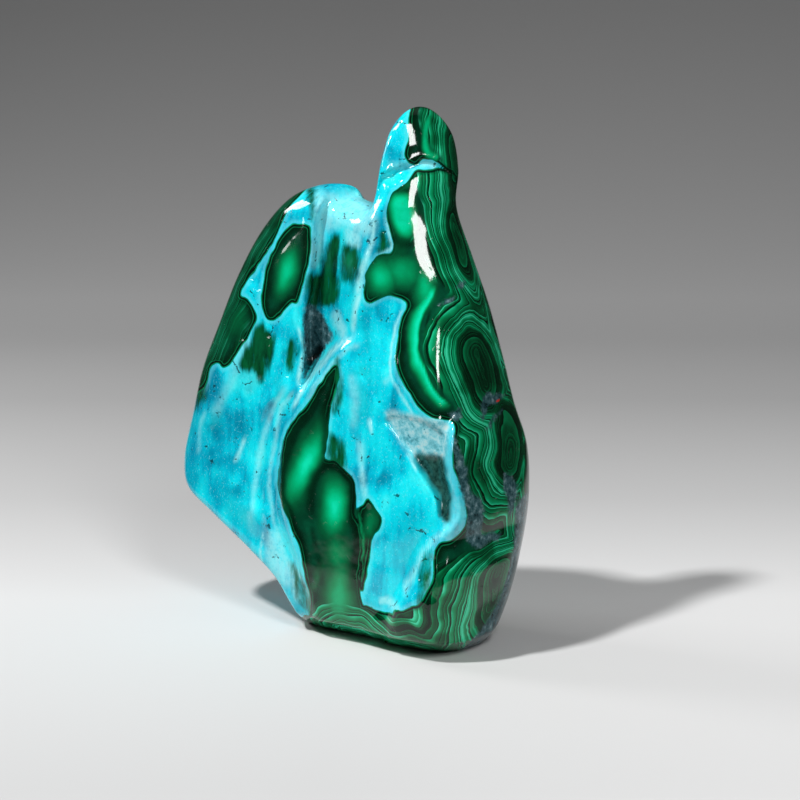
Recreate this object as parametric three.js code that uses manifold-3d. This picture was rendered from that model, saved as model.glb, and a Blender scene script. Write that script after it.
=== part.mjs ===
// Polished freeform of chrysocolla with malachite: one natural stone, ground and polished all over.
// A slab stands on its sawn foot. A leaning wing rises on the left, a pillar with a small knob on the
// right, and a deep hollow runs down between them. Millimetres, +Z up, the display face looks along -Y.
// The origin is the centre of the bounding box at the foot.
import * as THREE from 'three';
import { mergeVertices } from 'three/addons/utils/BufferGeometryUtils.js';
import Module from 'manifold-3d';

// Driving dimensions ---------------------------------------------------------------------------

// Outline of the slab in X and Z: x, z, width of the rounded edge, squareness of that rounding
// (2 is a quarter ellipse, larger is a tighter corner). It runs anticlockwise seen from -Y.
const OUTLINE = [
  [30, -6.5, 7, 2.6], [36, -1, 6.5, 2.5], [40, 8.5, 6, 2.7], [43.5, 21, 6, 2.8],
  [45, 33.5, 6, 2.8], [44.5, 44, 6, 2.8], [41.5, 53, 6, 2.8], [39.5, 62.5, 6, 2.6],
  [36.5, 74.5, 6, 2.5], [33, 85.5, 6, 2.3], [30.5, 95.5, 7, 2.1], [31.5, 103.5, 8, 2],
  [29.5, 112, 8, 2], [23.5, 117, 8, 2], [18, 113, 8, 2], [15, 105.5, 8, 2],
  [14, 98, 6, 2.1], [13, 95.5, 5, 2.2], [9, 96, 5, 2.2], [6, 97, 5, 2],
  [3.5, 99.5, 6, 2], [-3, 99.5, 7, 2], [-11, 96.5, 8, 2], [-18.5, 89.5, 9, 2],
  [-25.5, 79, 10, 2], [-31.5, 67, 11, 2], [-36.5, 56.5, 12, 2], [-39.5, 46, 12, 2],
  [-41.5, 35, 8, 2], [-38.5, 27, 5, 2.1], [-29.5, 21, 5, 2.1], [-18, 14, 6, 2.2],
  [-11, 8, 8, 2.3], [-7, 0, 7, 2.4], [-3, -6, 7, 2.6], [14, -6.5, 7, 2.6],
];

// Half thickness against height, and how it thins towards the tip of the wing.
const HALF_DEPTH = [
  [-6, 9], [-1, 10.5], [3, 13], [9, 15.5], [20, 16], [32, 16.5], [52, 15], [74, 12.5],
  [85, 11], [97, 9], [105, 9], [117, 9],
];
const SIDE_DEPTH = [[-43, 0.55], [-20, 0.72], [10, 0.92], [30, 1], [46, 1]];

// Shift of the middle of the slab along Y against height: the foot sits back under the face.
const MID_DEPTH = [[-6, 2.6], [0, 2], [9, 0.4], [20, 0], [120, 0]];

// Rays of the surface grid fan out from the hub, and bend to run up the neck into the knob.
const HUB = [12, 53];
const NECK = { centre: [24, 117], reach: 26, bend: [20, 87] };
const FOOT_CORNER = [-7, 0];
const GRID_CELLS = 40;
const EDGE_ROWS = 5;

// The display side is carved along one level direction, this many degrees from -Y towards +X.
// Carved features are placed by u, across that direction, and by height.
const DISPLAY_TURN = 35;
const FADE = [0.05, 0.5];

// Hollow between wing and pillar, against height: its sharp left edge, the left side of its floor,
// the crest on its right, and its depth.
const HOLLOW_EDGE = [
  [40, -8], [55, -7.8], [60, -7], [65, -7.4], [71, -7], [77, -6], [84, -5], [92, -4.5], [98, -2.5],
  [103, -1],
];
const HOLLOW_FLOOR = [
  [40, -6], [56, -5.5], [61, -4.5], [68, -3], [76, -1.5], [84, 0], [92, 1.5], [98, 3], [103, 4],
];
const HOLLOW_CREST = [
  [40, 0], [58, 2], [64, 4.5], [70, 6.5], [77, 7.5], [84, 8.5], [92, 10], [98, 12], [103, 13],
];
const HOLLOW_DEPTH = [
  [40, 0], [50, 2], [56, 6], [61, 8.5], [68, 6.5], [76, 5.2], [84, 4.4], [92, 3.4], [98, 2], [103, 1],
];
const HOLLOW_WALL = 4;

// Rim of the rounded lobe that closes the hollow, and how far the lobe swells along that rim.
const LOBE_RIM = [
  [9, 69.5], [5, 67.5], [1.5, 66], [-2, 62], [-5, 58.5], [-8, 53.5], [-10.5, 47.5], [-12, 41.5],
  [-12.5, 35], [-12.5, 28.5], [-11, 23], [-8.5, 17], [-6.5, 11], [-4.5, 4], [-3.5, -4],
];
const LOBE_SWELL = [
  [0, 0], [0.12, 0.8], [0.25, 2.4], [0.45, 3.4], [0.7, 3.1], [0.85, 1.7], [0.92, 1.3], [1, 1.2],
];
const LOBE_REACH = 11;

// Pocket beside the flat tongue of chrysocolla, and its depth against height.
const POCKET = [
  [13.5, 52], [17.5, 52], [21, 51], [24, 49], [24.5, 45], [24, 41], [25, 37], [24.5, 32],
  [23, 31.5], [22.5, 35], [20, 39], [17, 43], [14, 46.5], [11.5, 50.5],
];
const POCKET_DEPTH = [[30, 2.2], [36, 3.4], [43, 3.2], [52, 0.6]];

// Bevelled step up to the block of malachite at the lower right.
const BEVEL = [
  [26, 51.5], [25, 48], [25, 44], [25.5, 39.5], [26.5, 35.5], [26.5, 31.5], [23.5, 28.5], [20.5, 25.5],
  [18, 21.5], [16.5, 16], [13.5, 11.5], [12.5, 6],
];
const BEVEL_RISE = { up: 1.5, reach: 7, down: 0.7, fall: 4 };

// Crease under the knob, with the pillar's shoulder swelling below it.
const CREASE = [
  [8.5, 94], [10, 97.5], [11, 101], [13.5, 102.5], [17, 104], [20, 105], [23.5, 103.5], [26.5, 100.5],
  [28.5, 96],
];
const CREASE_CUT = { deep: 1.4, wide: 1.4, shoulder: 0.4, reach: 4.5 };

// Rounded front edge of the pillar, against height: where it runs, how much is ground off it, and
// how wide the grinding reaches to either side.
const RIDGE = [
  [50, 15.8], [60, 17], [70, 18.2], [80, 19.1], [86, 19.1], [92, 18.5], [97, 19.6], [102, 20.2],
  [107, 19.8], [112, 20.5],
];
const RIDGE_CUT = [
  [58, 0], [63, 0.5], [67, 1.5], [72, 2.6], [76, 3.3], [80, 3.8], [85, 3.7], [92, 3], [98, 2.5],
  [103, 2.2], [112, 1.8], [118, 0.5],
];
const RIDGE_WIDTH = 7;

// How far the neck and knob as a whole sit back from the pillar, against height, and the u over
// which that sets in.
const NECK_LEAN = [
  [84, 0], [92, 0.7], [97, 1.4], [103.5, 4.3], [107, 5.6], [110, 6.4], [113.5, 6.1], [117, 5.4],
];
const NECK_LEFT = [9, 14];

// How proud the lower right block stands, the fill that keeps its end upright, and the rise of the
// whole display side towards the foot, all against height.
const BLOCK_SWELL = [[4, 2.6], [11, 2.6], [18, 2.6], [21, 2.1], [24, 0.9], [27, 0]];
const END_LEAN = [[4, 1.8], [11, 1.8], [21, 0]];
const END_LEFT = [22, 32];
const FOOT_FILL = [
  [4, 5.9], [6.5, 4.9], [9, 4.1], [11, 3.8], [14, 3.4], [20, 2.6], [28, 1.5], [40, 0],
];

// Ground edge along the foot of the display side.
const FOOT_CHAMFER = { tall: 4.5, deep: 5.5 };

// Ridges and furrows that follow the veins: route, height (negative is a furrow), half width.
const FOLDS = [
  [
    [[-7.5, 56], [-10.5, 53.5], [-12, 49], [-14, 43], [-15, 36], [-15.5, 28.5], [-14.5, 21.5], [-13, 15]],
    0.9, 1.2,
  ],
  [[[-8.5, 57], [-12.5, 54], [-16, 49], [-18.5, 39.5], [-19, 29], [-17.5, 20]], 0.7, 1.2],
  [[[-13.5, 66], [-16, 60], [-19.5, 53], [-22, 45], [-23, 36]], 0.6, 1.6],
  [[[-19.5, 64.5], [-23.5, 57.5], [-27, 50], [-29.5, 42]], 0.6, 1.6],
  [[[-12, 52], [-17, 44], [-17, 34], [-16.5, 26]], -0.9, 1.8],
  [[[-17, 58], [-20.5, 48], [-21, 36], [-20, 26]], -0.8, 2.2],
  [[[-7.5, 94], [-13, 87.5], [-17, 80.5], [-18.5, 76]], -0.6, 1.6],
  [[[9.5, 97], [8, 89], [7, 83], [5.5, 77], [5, 69]], 0.9, 1.6],
  [[[6, 62], [7, 54], [6, 46], [6.5, 38]], -0.7, 2.2],
  [[[21.5, 24], [21, 19], [20.5, 14]], -0.7, 1.5],
  [[[-4.5, 14], [-6.5, 9], [-7.5, 3]], -0.8, 1.2],
];

// Broad hollows and swells of the back, in X and Z: centre, reach across and up, lean, height.
const BACK_SWELLS = [
  { at: [3, 66], reach: [8, 27], lean: 0.25, high: -2 },
  { at: [-22, 46], reach: [10, 16], lean: -0.3, high: 1.2 },
  { at: [28, 34], reach: [9, 22], lean: 0.1, high: 1 },
  { at: [8, 22], reach: [14, 9], lean: 0, high: -1.1 },
];

// Curves and steps ---------------------------------------------------------------------------------

// One span of a Catmull-Rom curve: the point at f between b and c, with a before and d after them.
function spanPoint(a, b, c, d, f) {
  return b.map((start, i) => {
    const bend = 2 * a[i] - 5 * start + 4 * c[i] - d[i];
    const twist = 3 * start - a[i] - 3 * c[i] + d[i];
    return 0.5 * (2 * start + (c[i] - a[i]) * f + bend * f * f + twist * f * f * f);
  });
}

// Smooth closed curve through the points, with a number of steps in each span.
function closedCurve(points, steps) {
  const count = points.length;
  const at = (i) => points[(i + count) % count];
  const curve = [];
  for (let i = 0; i < count; i += 1) {
    for (let s = 0; s < steps; s += 1) {
      curve.push(spanPoint(at(i - 1), at(i), at(i + 1), at(i + 2), s / steps));
    }
  }
  return curve;
}

// Smooth open curve through the points.
function openCurve(points, steps) {
  const last = points.length - 1;
  const beyond = (end, next) => end.map((value, i) => 2 * value - next[i]);
  const run = [beyond(points[0], points[1]), ...points, beyond(points[last], points[last - 1])];
  const curve = [];
  for (let i = 0; i < last; i += 1) {
    for (let s = 0; s < steps; s += 1) {
      curve.push(spanPoint(run[i], run[i + 1], run[i + 2], run[i + 3], s / steps));
    }
  }
  curve.push(points[last]);
  return curve;
}

// The closed curve again, with points at even distances.
function evenCurve(curve, count) {
  const run = [...curve, curve[0]];
  const length = [0];
  for (let i = 1; i < run.length; i += 1) {
    length.push(length[i - 1] + Math.hypot(run[i][0] - run[i - 1][0], run[i][1] - run[i - 1][1]));
  }
  const even = [];
  let i = 0;
  for (let k = 0; k < count; k += 1) {
    const want = (length[length.length - 1] * k) / count;
    while (length[i + 1] < want) i += 1;
    const f = (want - length[i]) / (length[i + 1] - length[i]);
    even.push(run[i].map((value, j) => value + (run[i + 1][j] - value) * f));
  }
  return even;
}

// Slope of a profile at one of its points.
function slopeAt(pairs, i) {
  const before = pairs[Math.max(i - 1, 0)];
  const after = pairs[Math.min(i + 1, pairs.length - 1)];
  return (after[1] - before[1]) / (after[0] - before[0]);
}

// Smooth profile through pairs of place and value, level beyond its ends.
function profile(pairs, place) {
  const x = THREE.MathUtils.clamp(place, pairs[0][0], pairs[pairs.length - 1][0]);
  let i = 0;
  while (i < pairs.length - 2 && x >= pairs[i + 1][0]) i += 1;
  const span = pairs[i + 1][0] - pairs[i][0];
  const f = (x - pairs[i][0]) / span;
  const rise = f * f * (3 - 2 * f);
  const leave = f * (1 - f) * (1 - f) * span * slopeAt(pairs, i);
  const arrive = f * f * (f - 1) * span * slopeAt(pairs, i + 1);
  return pairs[i][1] * (1 - rise) + pairs[i + 1][1] * rise + leave + arrive;
}

const step = (value, from, to) => THREE.MathUtils.smoothstep(value, from, to);
const fall = (distance, reach) => Math.exp(-Math.max(distance, 0) / reach);
const bell = (distance, width) => Math.exp(-((distance / width) ** 2));

// Distance from a point to a run of points, the side that it lies on (+1 is left of the walk)
// and the place of the nearest point along the run, counted in points.
function nearest(x, y, run, closed) {
  const spans = closed ? run.length : run.length - 1;
  let best = { distance: Infinity, side: 1, place: 0 };
  for (let i = 0; i < spans; i += 1) {
    const a = run[i];
    const b = run[(i + 1) % run.length];
    const along = [b[0] - a[0], b[1] - a[1]];
    const reach = along[0] ** 2 + along[1] ** 2;
    const raw = ((x - a[0]) * along[0] + (y - a[1]) * along[1]) / reach;
    const f = THREE.MathUtils.clamp(raw, 0, 1);
    const distance = Math.hypot(x - a[0] - along[0] * f, y - a[1] - along[1] * f);
    if (distance < best.distance) {
      const turn = along[0] * (y - a[1]) - along[1] * (x - a[0]);
      best = { distance, side: turn < 0 ? -1 : 1, place: i + f };
    }
  }
  return best;
}

// Distance inside a closed run of points, negative outside it.
function depthInside(x, y, run) {
  let within = false;
  run.forEach((a, i) => {
    const b = run[(i + 1) % run.length];
    const crosses = a[1] > y !== b[1] > y;
    if (crosses && x < ((b[0] - a[0]) * (y - a[1])) / (b[1] - a[1]) + a[0]) within = !within;
  });
  const { distance } = nearest(x, y, run, true);
  return within ? distance : -distance;
}

// Carving ------------------------------------------------------------------------------------------

const lobeRim = openCurve(LOBE_RIM, 6);
const pocketEdge = closedCurve(POCKET, 5);
const bevelLine = openCurve(BEVEL, 6);
const creaseLine = openCurve(CREASE, 6);
const foldLines = FOLDS.map(([route, high, wide]) => ({ line: openCurve(route, 6), high, wide }));

// Signed distance to an open line, and the share of the line walked at the nearest point.
function lineGap(u, z, line) {
  const found = nearest(u, z, line, false);
  return { gap: found.distance * found.side, share: found.place / (line.length - 1) };
}

// Height of the carved relief of the display side.
function displayRelief(u, z) {
  const rim = lineGap(u, z, lobeRim);
  const lobe = step(rim.gap, -0.8, 1.6);
  const edge = profile(HOLLOW_EDGE, z);
  const wall = step(u, edge, edge + HOLLOW_WALL);
  const rise = 1 - step(u, profile(HOLLOW_FLOOR, z), profile(HOLLOW_CREST, z));
  let height = -profile(HOLLOW_DEPTH, z) * wall * rise * (1 - lobe);
  height += profile(LOBE_SWELL, rim.share) * lobe * fall(rim.gap, LOBE_REACH);
  height -= profile(POCKET_DEPTH, z) * step(depthInside(u, z, pocketEdge), -1, 2.2);

  const bevel = lineGap(u, z, bevelLine);
  const beside = step(z, 2, 10) * (1 - step(z, 50, 54));
  height += BEVEL_RISE.up * beside * step(bevel.gap, -1.5, 1.5) * fall(bevel.gap, BEVEL_RISE.reach);
  height -= BEVEL_RISE.down * beside * step(-bevel.gap, -0.5, 1.5) * fall(-bevel.gap, BEVEL_RISE.fall);

  const crease = lineGap(u, z, creaseLine);
  height -= CREASE_CUT.deep * bell(crease.gap, CREASE_CUT.wide) * step(crease.share, 0, 0.25);
  height += CREASE_CUT.shoulder * step(-crease.gap, 0, 2) * fall(-crease.gap, CREASE_CUT.reach);
  height -= profile(RIDGE_CUT, z) * bell(u - profile(RIDGE, z), RIDGE_WIDTH);

  const blockLeft = -2 - 8 * (1 - step(z, 3, 12));
  const blockRound = 2.4 + 3 * step(z, 14, 20);
  height += profile(BLOCK_SWELL, z) * step(bevel.gap, blockLeft, blockRound);
  height += profile(END_LEAN, z) * step(u, ...END_LEFT);
  height += profile(FOOT_FILL, z);
  height -= FOOT_CHAMFER.deep * THREE.MathUtils.clamp(1 - z / FOOT_CHAMFER.tall, 0, 1);

  foldLines.forEach(({ line, high, wide }) => {
    const { gap, share } = lineGap(u, z, line);
    height += high * bell(gap, wide) * step(share, 0, 0.12) * (1 - step(share, 0.88, 1));
  });
  return height;
}

// Height of the broad swells of the back.
function backRelief(x, z) {
  return BACK_SWELLS.reduce((height, { at, reach, lean, high }) => {
    const across = (x - at[0] - lean * (z - at[1])) / reach[0];
    const up = (z - at[1]) / reach[1];
    return height + high * Math.exp(-across * across - up * up);
  }, 0);
}

// The surface ----------------------------------------------------------------------------------------

// A face sheet of square rings around the hub, the rounded edge in rows out to the rim, and the
// same again behind it. Each vertex keeps its ring share and its ray.
function gridPlaces(rays) {
  const sheet = [];
  for (let j = 0; j <= GRID_CELLS; j += 1) {
    for (let i = 0; i <= GRID_CELLS; i += 1) {
      const a = (2 * i) / GRID_CELLS - 1;
      const b = (2 * j) / GRID_CELLS - 1;
      const ring = Math.max(Math.abs(a), Math.abs(b));
      let turn = 0.75 + (1 - b / ring) / 8;
      if (ring === 0) turn = 0;
      else if (b === -ring) turn = (a / ring + 1) / 8;
      else if (a === ring) turn = 0.25 + (b / ring + 1) / 8;
      else if (b === ring) turn = 0.5 + (1 - a / ring) / 8;
      sheet.push({ ring, ray: Math.round(turn * rays) % rays });
    }
  }
  return sheet;
}

// Where the surface sits in X and Z on a ray, at a share of the way from the hub to the outline.
function rayPoint(target, share) {
  const [x, z] = target;
  const pull = bell(Math.hypot(x - NECK.centre[0], z - NECK.centre[1]), NECK.reach);
  return [x, z].map((end, i) => {
    const control = ((HUB[i] + end) / 2) * (1 - pull) + NECK.bend[i] * pull;
    return (1 - share) ** 2 * HUB[i] + 2 * share * (1 - share) * control + share ** 2 * end;
  });
}

// Vertices and four-sided faces of the slab before it is carved.
function slab() {
  const rays = 4 * GRID_CELLS;
  const even = evenCurve(closedCurve(OUTLINE, 60), rays);
  const away = even.map(([x, z]) => Math.hypot(x - FOOT_CORNER[0], z - FOOT_CORNER[1]));
  const first = away.indexOf(Math.min(...away));
  const loop = even.map((_, i) => even[(i + first) % rays]);
  const reach = loop.map(([x, z]) => Math.hypot(x - HUB[0], z - HUB[1]));
  const sheet = gridPlaces(rays);

  const spots = [];
  const addRow = (side, share) => {
    loop.forEach((target, ray) => spots.push({ side, at: rayPoint(target, share(ray)), rim: false }));
  };
  const addSheet = (side) => {
    sheet.forEach(({ ring, ray }) => {
      const share = ring * (1 - loop[ray][2] / reach[ray]);
      spots.push({ side, at: rayPoint(loop[ray], share), rim: false });
    });
  };
  const edgeShare = (row) => (ray) => {
    const rise = Math.sin((Math.PI / 2) * (1 - row / EDGE_ROWS));
    const [, , wide, square] = loop[ray];
    const inward = 1 - (1 - rise ** square) ** (1 / square);
    return 1 - (inward * wide) / reach[ray];
  };
  addSheet(-1);
  for (let row = 1; row <= EDGE_ROWS; row += 1) addRow(-1, edgeShare(row));
  spots.slice(-rays).forEach((spot) => { spot.rim = true; });
  for (let row = EDGE_ROWS - 1; row >= 1; row -= 1) addRow(1, edgeShare(row));
  addSheet(1);

  const vertices = spots.map(({ side, at: [x, z], rim }) => {
    const { distance, place } = nearest(x, z, loop, true);
    const from = loop[Math.floor(place) % rays];
    const to = loop[Math.ceil(place) % rays];
    const mix = (k) => from[k] + (to[k] - from[k]) * (place % 1);
    const inward = rim ? 0 : Math.min(distance / mix(2), 1);
    const round = (1 - (1 - inward) ** mix(3)) ** (1 / mix(3));
    const half = profile(HALF_DEPTH, z) * profile(SIDE_DEPTH, x);
    return new THREE.Vector3(x, side * half * round + profile(MID_DEPTH, z), z);
  });
  return { vertices, faces: slabFaces(sheet, rays), front: sheet.length };
}

// Faces between the rows of the slab, each turned outward.
function slabFaces(sheet, rays) {
  const across = GRID_CELLS + 1;
  const cells = [];
  for (let j = 0; j < GRID_CELLS; j += 1) {
    for (let i = 0; i < GRID_CELLS; i += 1) {
      const corner = j * across + i;
      cells.push([corner, corner + 1, corner + across + 1, corner + across]);
    }
  }
  const border = [];
  sheet.forEach(({ ring, ray }, i) => { if (ring === 1) border[ray] = i; });
  const rows = [border];
  for (let row = 0; row < 2 * EDGE_ROWS - 1; row += 1) {
    rows.push(border.map((_, ray) => sheet.length + row * rays + ray));
  }
  const behind = sheet.length + (2 * EDGE_ROWS - 1) * rays;
  rows.push(border.map((i) => i + behind));

  const faces = [...cells];
  for (let row = 1; row < rows.length; row += 1) {
    for (let ray = 0; ray < rays; ray += 1) {
      const next = (ray + 1) % rays;
      faces.push([rows[row - 1][ray], rows[row][ray], rows[row][next], rows[row - 1][next]]);
    }
  }
  cells.forEach((cell) => faces.push([...cell].reverse().map((i) => i + behind)));
  return faces;
}

// Outward normal at each vertex, from the diagonals of the faces around it.
function vertexNormals(vertices, faces) {
  const normals = vertices.map(() => new THREE.Vector3());
  const first = new THREE.Vector3();
  const second = new THREE.Vector3();
  faces.forEach((face) => {
    first.subVectors(vertices[face[2]], vertices[face[0]]);
    second.subVectors(vertices[face[3]], vertices[face[1]]);
    first.cross(second);
    face.forEach((i) => normals[i].add(first));
  });
  return normals.map((normal) => normal.normalize());
}

// The slab with the display side and the back carved, as one closed geometry.
function carvedGeometry() {
  const { vertices, faces } = slab();
  const normals = vertexNormals(vertices, faces);
  const turn = THREE.MathUtils.degToRad(DISPLAY_TURN);
  const toward = new THREE.Vector3(Math.sin(turn), -Math.cos(turn), 0);
  const position = new Float32Array(vertices.length * 3);
  vertices.forEach((vertex, i) => {
    const { x, y, z } = vertex;
    const u = x * Math.cos(turn) + y * Math.sin(turn);
    const facing = step(normals[i].dot(toward), ...FADE);
    const behind = step(normals[i].y, ...FADE);
    const lean = profile(NECK_LEAN, z) * step(u, ...NECK_LEFT);
    vertex.addScaledVector(toward, displayRelief(u, z) * facing - lean);
    if (behind > 0) vertex.y += backRelief(x, z) * behind;
    vertex.toArray(position, i * 3);
  });
  const geometry = new THREE.BufferGeometry();
  geometry.setAttribute('position', new THREE.BufferAttribute(position, 3));
  geometry.setIndex(faces.flatMap(([a, b, c, d]) => {
    const even = vertices[a].distanceTo(vertices[c]) <= vertices[b].distanceTo(vertices[d]);
    return even ? [a, b, c, a, c, d] : [a, b, d, b, c, d];
  }));
  return geometry;
}

// Sawn foot ------------------------------------------------------------------------------------------

// A three.js geometry as a solid that can be cut.
function solidOf(geometry, wasm) {
  const plain = geometry.clone();
  plain.deleteAttribute('normal');
  plain.deleteAttribute('uv');
  const merged = mergeVertices(plain, 1e-5);
  return new wasm.Manifold(new wasm.Mesh({
    numProp: 3,
    vertProperties: Float32Array.from(merged.attributes.position.array),
    triVerts: Uint32Array.from(merged.index.array),
  }));
}

// The stone cut level at height zero, with the middle of its box over the origin.
async function footedGeometry() {
  const wasm = await Module();
  wasm.setup();
  const block = new THREE.BoxGeometry(400, 400, 100).translate(0, 0, -50);
  const cut = solidOf(carvedGeometry(), wasm).subtract(solidOf(block, wasm));
  const { vertProperties, triVerts, numProp } = cut.getMesh();
  const geometry = new THREE.BufferGeometry();
  const position = new THREE.InterleavedBuffer(vertProperties, numProp);
  geometry.setAttribute('position', new THREE.InterleavedBufferAttribute(position, 3, 0));
  geometry.setIndex([...triVerts]);
  geometry.computeBoundingBox();
  const middle = geometry.boundingBox.getCenter(new THREE.Vector3());
  geometry.translate(-middle.x, -middle.y, 0);
  geometry.computeVertexNormals();
  return geometry;
}

const stone = new THREE.Mesh(
  await footedGeometry(),
  new THREE.MeshStandardMaterial({ color: 0x0b8f86, roughness: 0.12, metalness: 0 }),
);
stone.name = 'specimen';

const specimen = new THREE.Group();
specimen.name = 'chrysocolla_freeform';
specimen.add(stone);

export default specimen;
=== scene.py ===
import math
import bpy
import numpy as np
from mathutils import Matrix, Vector


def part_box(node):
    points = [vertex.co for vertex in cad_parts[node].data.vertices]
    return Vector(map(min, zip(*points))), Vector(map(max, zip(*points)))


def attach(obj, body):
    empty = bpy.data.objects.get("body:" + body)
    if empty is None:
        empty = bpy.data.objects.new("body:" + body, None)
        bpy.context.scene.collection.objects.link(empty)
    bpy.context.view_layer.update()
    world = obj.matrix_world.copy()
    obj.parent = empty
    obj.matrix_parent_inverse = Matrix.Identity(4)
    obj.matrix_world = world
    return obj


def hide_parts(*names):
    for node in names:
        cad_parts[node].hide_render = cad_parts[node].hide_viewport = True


# Polished freeform of chrysocolla with malachite on a pale studio floor.
# Lengths are millimetres until a mesh is made; Blender gets metres.

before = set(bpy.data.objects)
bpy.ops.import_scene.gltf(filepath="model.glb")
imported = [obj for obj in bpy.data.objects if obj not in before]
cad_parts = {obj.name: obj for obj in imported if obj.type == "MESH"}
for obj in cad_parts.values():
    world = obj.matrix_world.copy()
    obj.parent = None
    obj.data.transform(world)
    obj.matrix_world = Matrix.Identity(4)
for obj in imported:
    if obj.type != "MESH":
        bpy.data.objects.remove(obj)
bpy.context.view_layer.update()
mm = 0.001


def spans(corners, steps):
    # Catmull-Rom: each span is a cubic through its two middle corners, sloped as their neighbours are
    a, b, c, d = (corner[:, None, :] for corner in corners)
    f = np.arange(steps)[None, :, None] / steps
    curve = 2 * b + (c - a) * f + (2 * a - 5 * b + 4 * c - d) * f**2 + (3 * b - a - 3 * c + d) * f**3
    return 0.5 * curve.reshape(-1, curve.shape[2])


def closedCurve(points, steps):
    p = np.asarray(points, float)
    return spans((np.roll(p, 1, 0), p, np.roll(p, -1, 0), np.roll(p, -2, 0)), steps)


def openCurve(points, steps):
    # the same along an open run, with its ends carried on straight
    p = np.asarray(points, float)
    p = np.vstack([2 * p[:1] - p[1:2], p, 2 * p[-1:] - p[-2:-1]])
    return np.vstack([spans((p[:-3], p[1:-2], p[2:-1], p[3:]), steps), p[-2:-1]])


def evenCurve(curve, count):
    # the closed curve with its points moved to even distances along it
    run = np.vstack([curve, curve[:1]])
    length = np.append(0, np.cumsum(np.hypot(*np.diff(run[:, :2], axis=0).T)))
    want = length[-1] * np.arange(count) / count
    return np.stack([np.interp(want, length, column) for column in run.T], 1)


def profile(pairs, place):
    # cubic Hermite through (place, value) pairs, slopes from each pair's neighbours, level past the ends
    at, value = np.array(pairs, float).T
    before = np.maximum(np.arange(len(at)) - 1, 0)
    after = np.minimum(np.arange(len(at)) + 1, len(at) - 1)
    slope = (value[after] - value[before]) / (at[after] - at[before])
    x = np.clip(place, at[0], at[-1])
    i = np.clip(np.searchsorted(at, x, side="right") - 1, 0, len(at) - 2)
    span = at[i + 1] - at[i]
    f = (x - at[i]) / span
    rise = f * f * (3 - 2 * f)
    ends = value[i] * (1 - rise) + value[i + 1] * rise
    return ends + span * (f * (1 - f)**2 * slope[i] + f * f * (f - 1) * slope[i + 1])


def step(value, low, high):
    # smooth rise from 0 at low to 1 at high
    f = np.clip((value - low) / (high - low), 0, 1)
    return f * f * (3 - 2 * f)


def bell(distance, width):
    # 1 at no distance, 0.37 at the width
    return np.exp(-(distance / width)**2)


def fall(distance, reach):
    # 1 at no distance, 0.37 at the reach, and no more than 1 on the other side
    return np.exp(-np.maximum(distance, 0) / reach)


def nearest(x, y, run, closed, batch=8000):
    # distance to the run, side of it (+1 is left of the walk) and place of the nearest point, in points;
    # done a batch at a time, to keep the tables small
    a = run if closed else run[:-1]
    b = np.roll(run, -1, 0) if closed else run[1:]
    a, b = a[:, :2], b[:, :2]
    along = b - a
    reach = (along**2).sum(1)
    distance, side, place = np.empty((3, len(x)))
    for first in range(0, len(x), batch):
        block = slice(first, first + batch)
        dx = x[block, None] - a[:, 0]
        dy = y[block, None] - a[:, 1]
        f = np.clip((dx * along[:, 0] + dy * along[:, 1]) / reach, 0, 1)
        away = (dx - along[:, 0] * f)**2 + (dy - along[:, 1] * f)**2
        best = away.argmin(1)
        row = np.arange(len(best))
        turn = along[best, 0] * dy[row, best] - along[best, 1] * dx[row, best]
        distance[block] = np.sqrt(away[row, best])
        side[block] = np.where(turn < 0, -1, 1)
        place[block] = best + f[row, best]
    return distance, side, place


def lineGap(x, y, line):
    # signed distance to an open line, and the share of the line walked at its nearest point
    distance, side, place = nearest(x, y, line, False)
    return distance * side, place / (len(line) - 1)


def depthInside(x, y, run):
    # distance inside a closed run of points, negative outside; crossings of a level ray are counted
    distance = nearest(x, y, run, True)[0]
    within = np.zeros(len(x), bool)
    for a, b in zip(run, np.roll(run, -1, 0)):
        if a[1] != b[1]:
            crosses = (a[1] > y) != (b[1] > y)
            within ^= crosses & (x < (b[0] - a[0]) * (y - a[1]) / (b[1] - a[1]) + a[0])
    return np.where(within, distance, -distance)


def ripple(points, size, seed, waves=9):
    # sum of sine waves in random directions, with wavelengths round the size, over the root of their
    # number: mostly between -1 and 1
    pick = np.random.default_rng(seed)
    total = np.zeros(len(points))
    for _ in range(waves):
        direction = pick.normal(size=3)
        direction *= 2 * math.pi / (np.linalg.norm(direction) * size * pick.uniform(0.6, 1.7))
        total += np.sin(points @ direction + pick.uniform(0, 7))
    return total / math.sqrt(waves)


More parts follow.
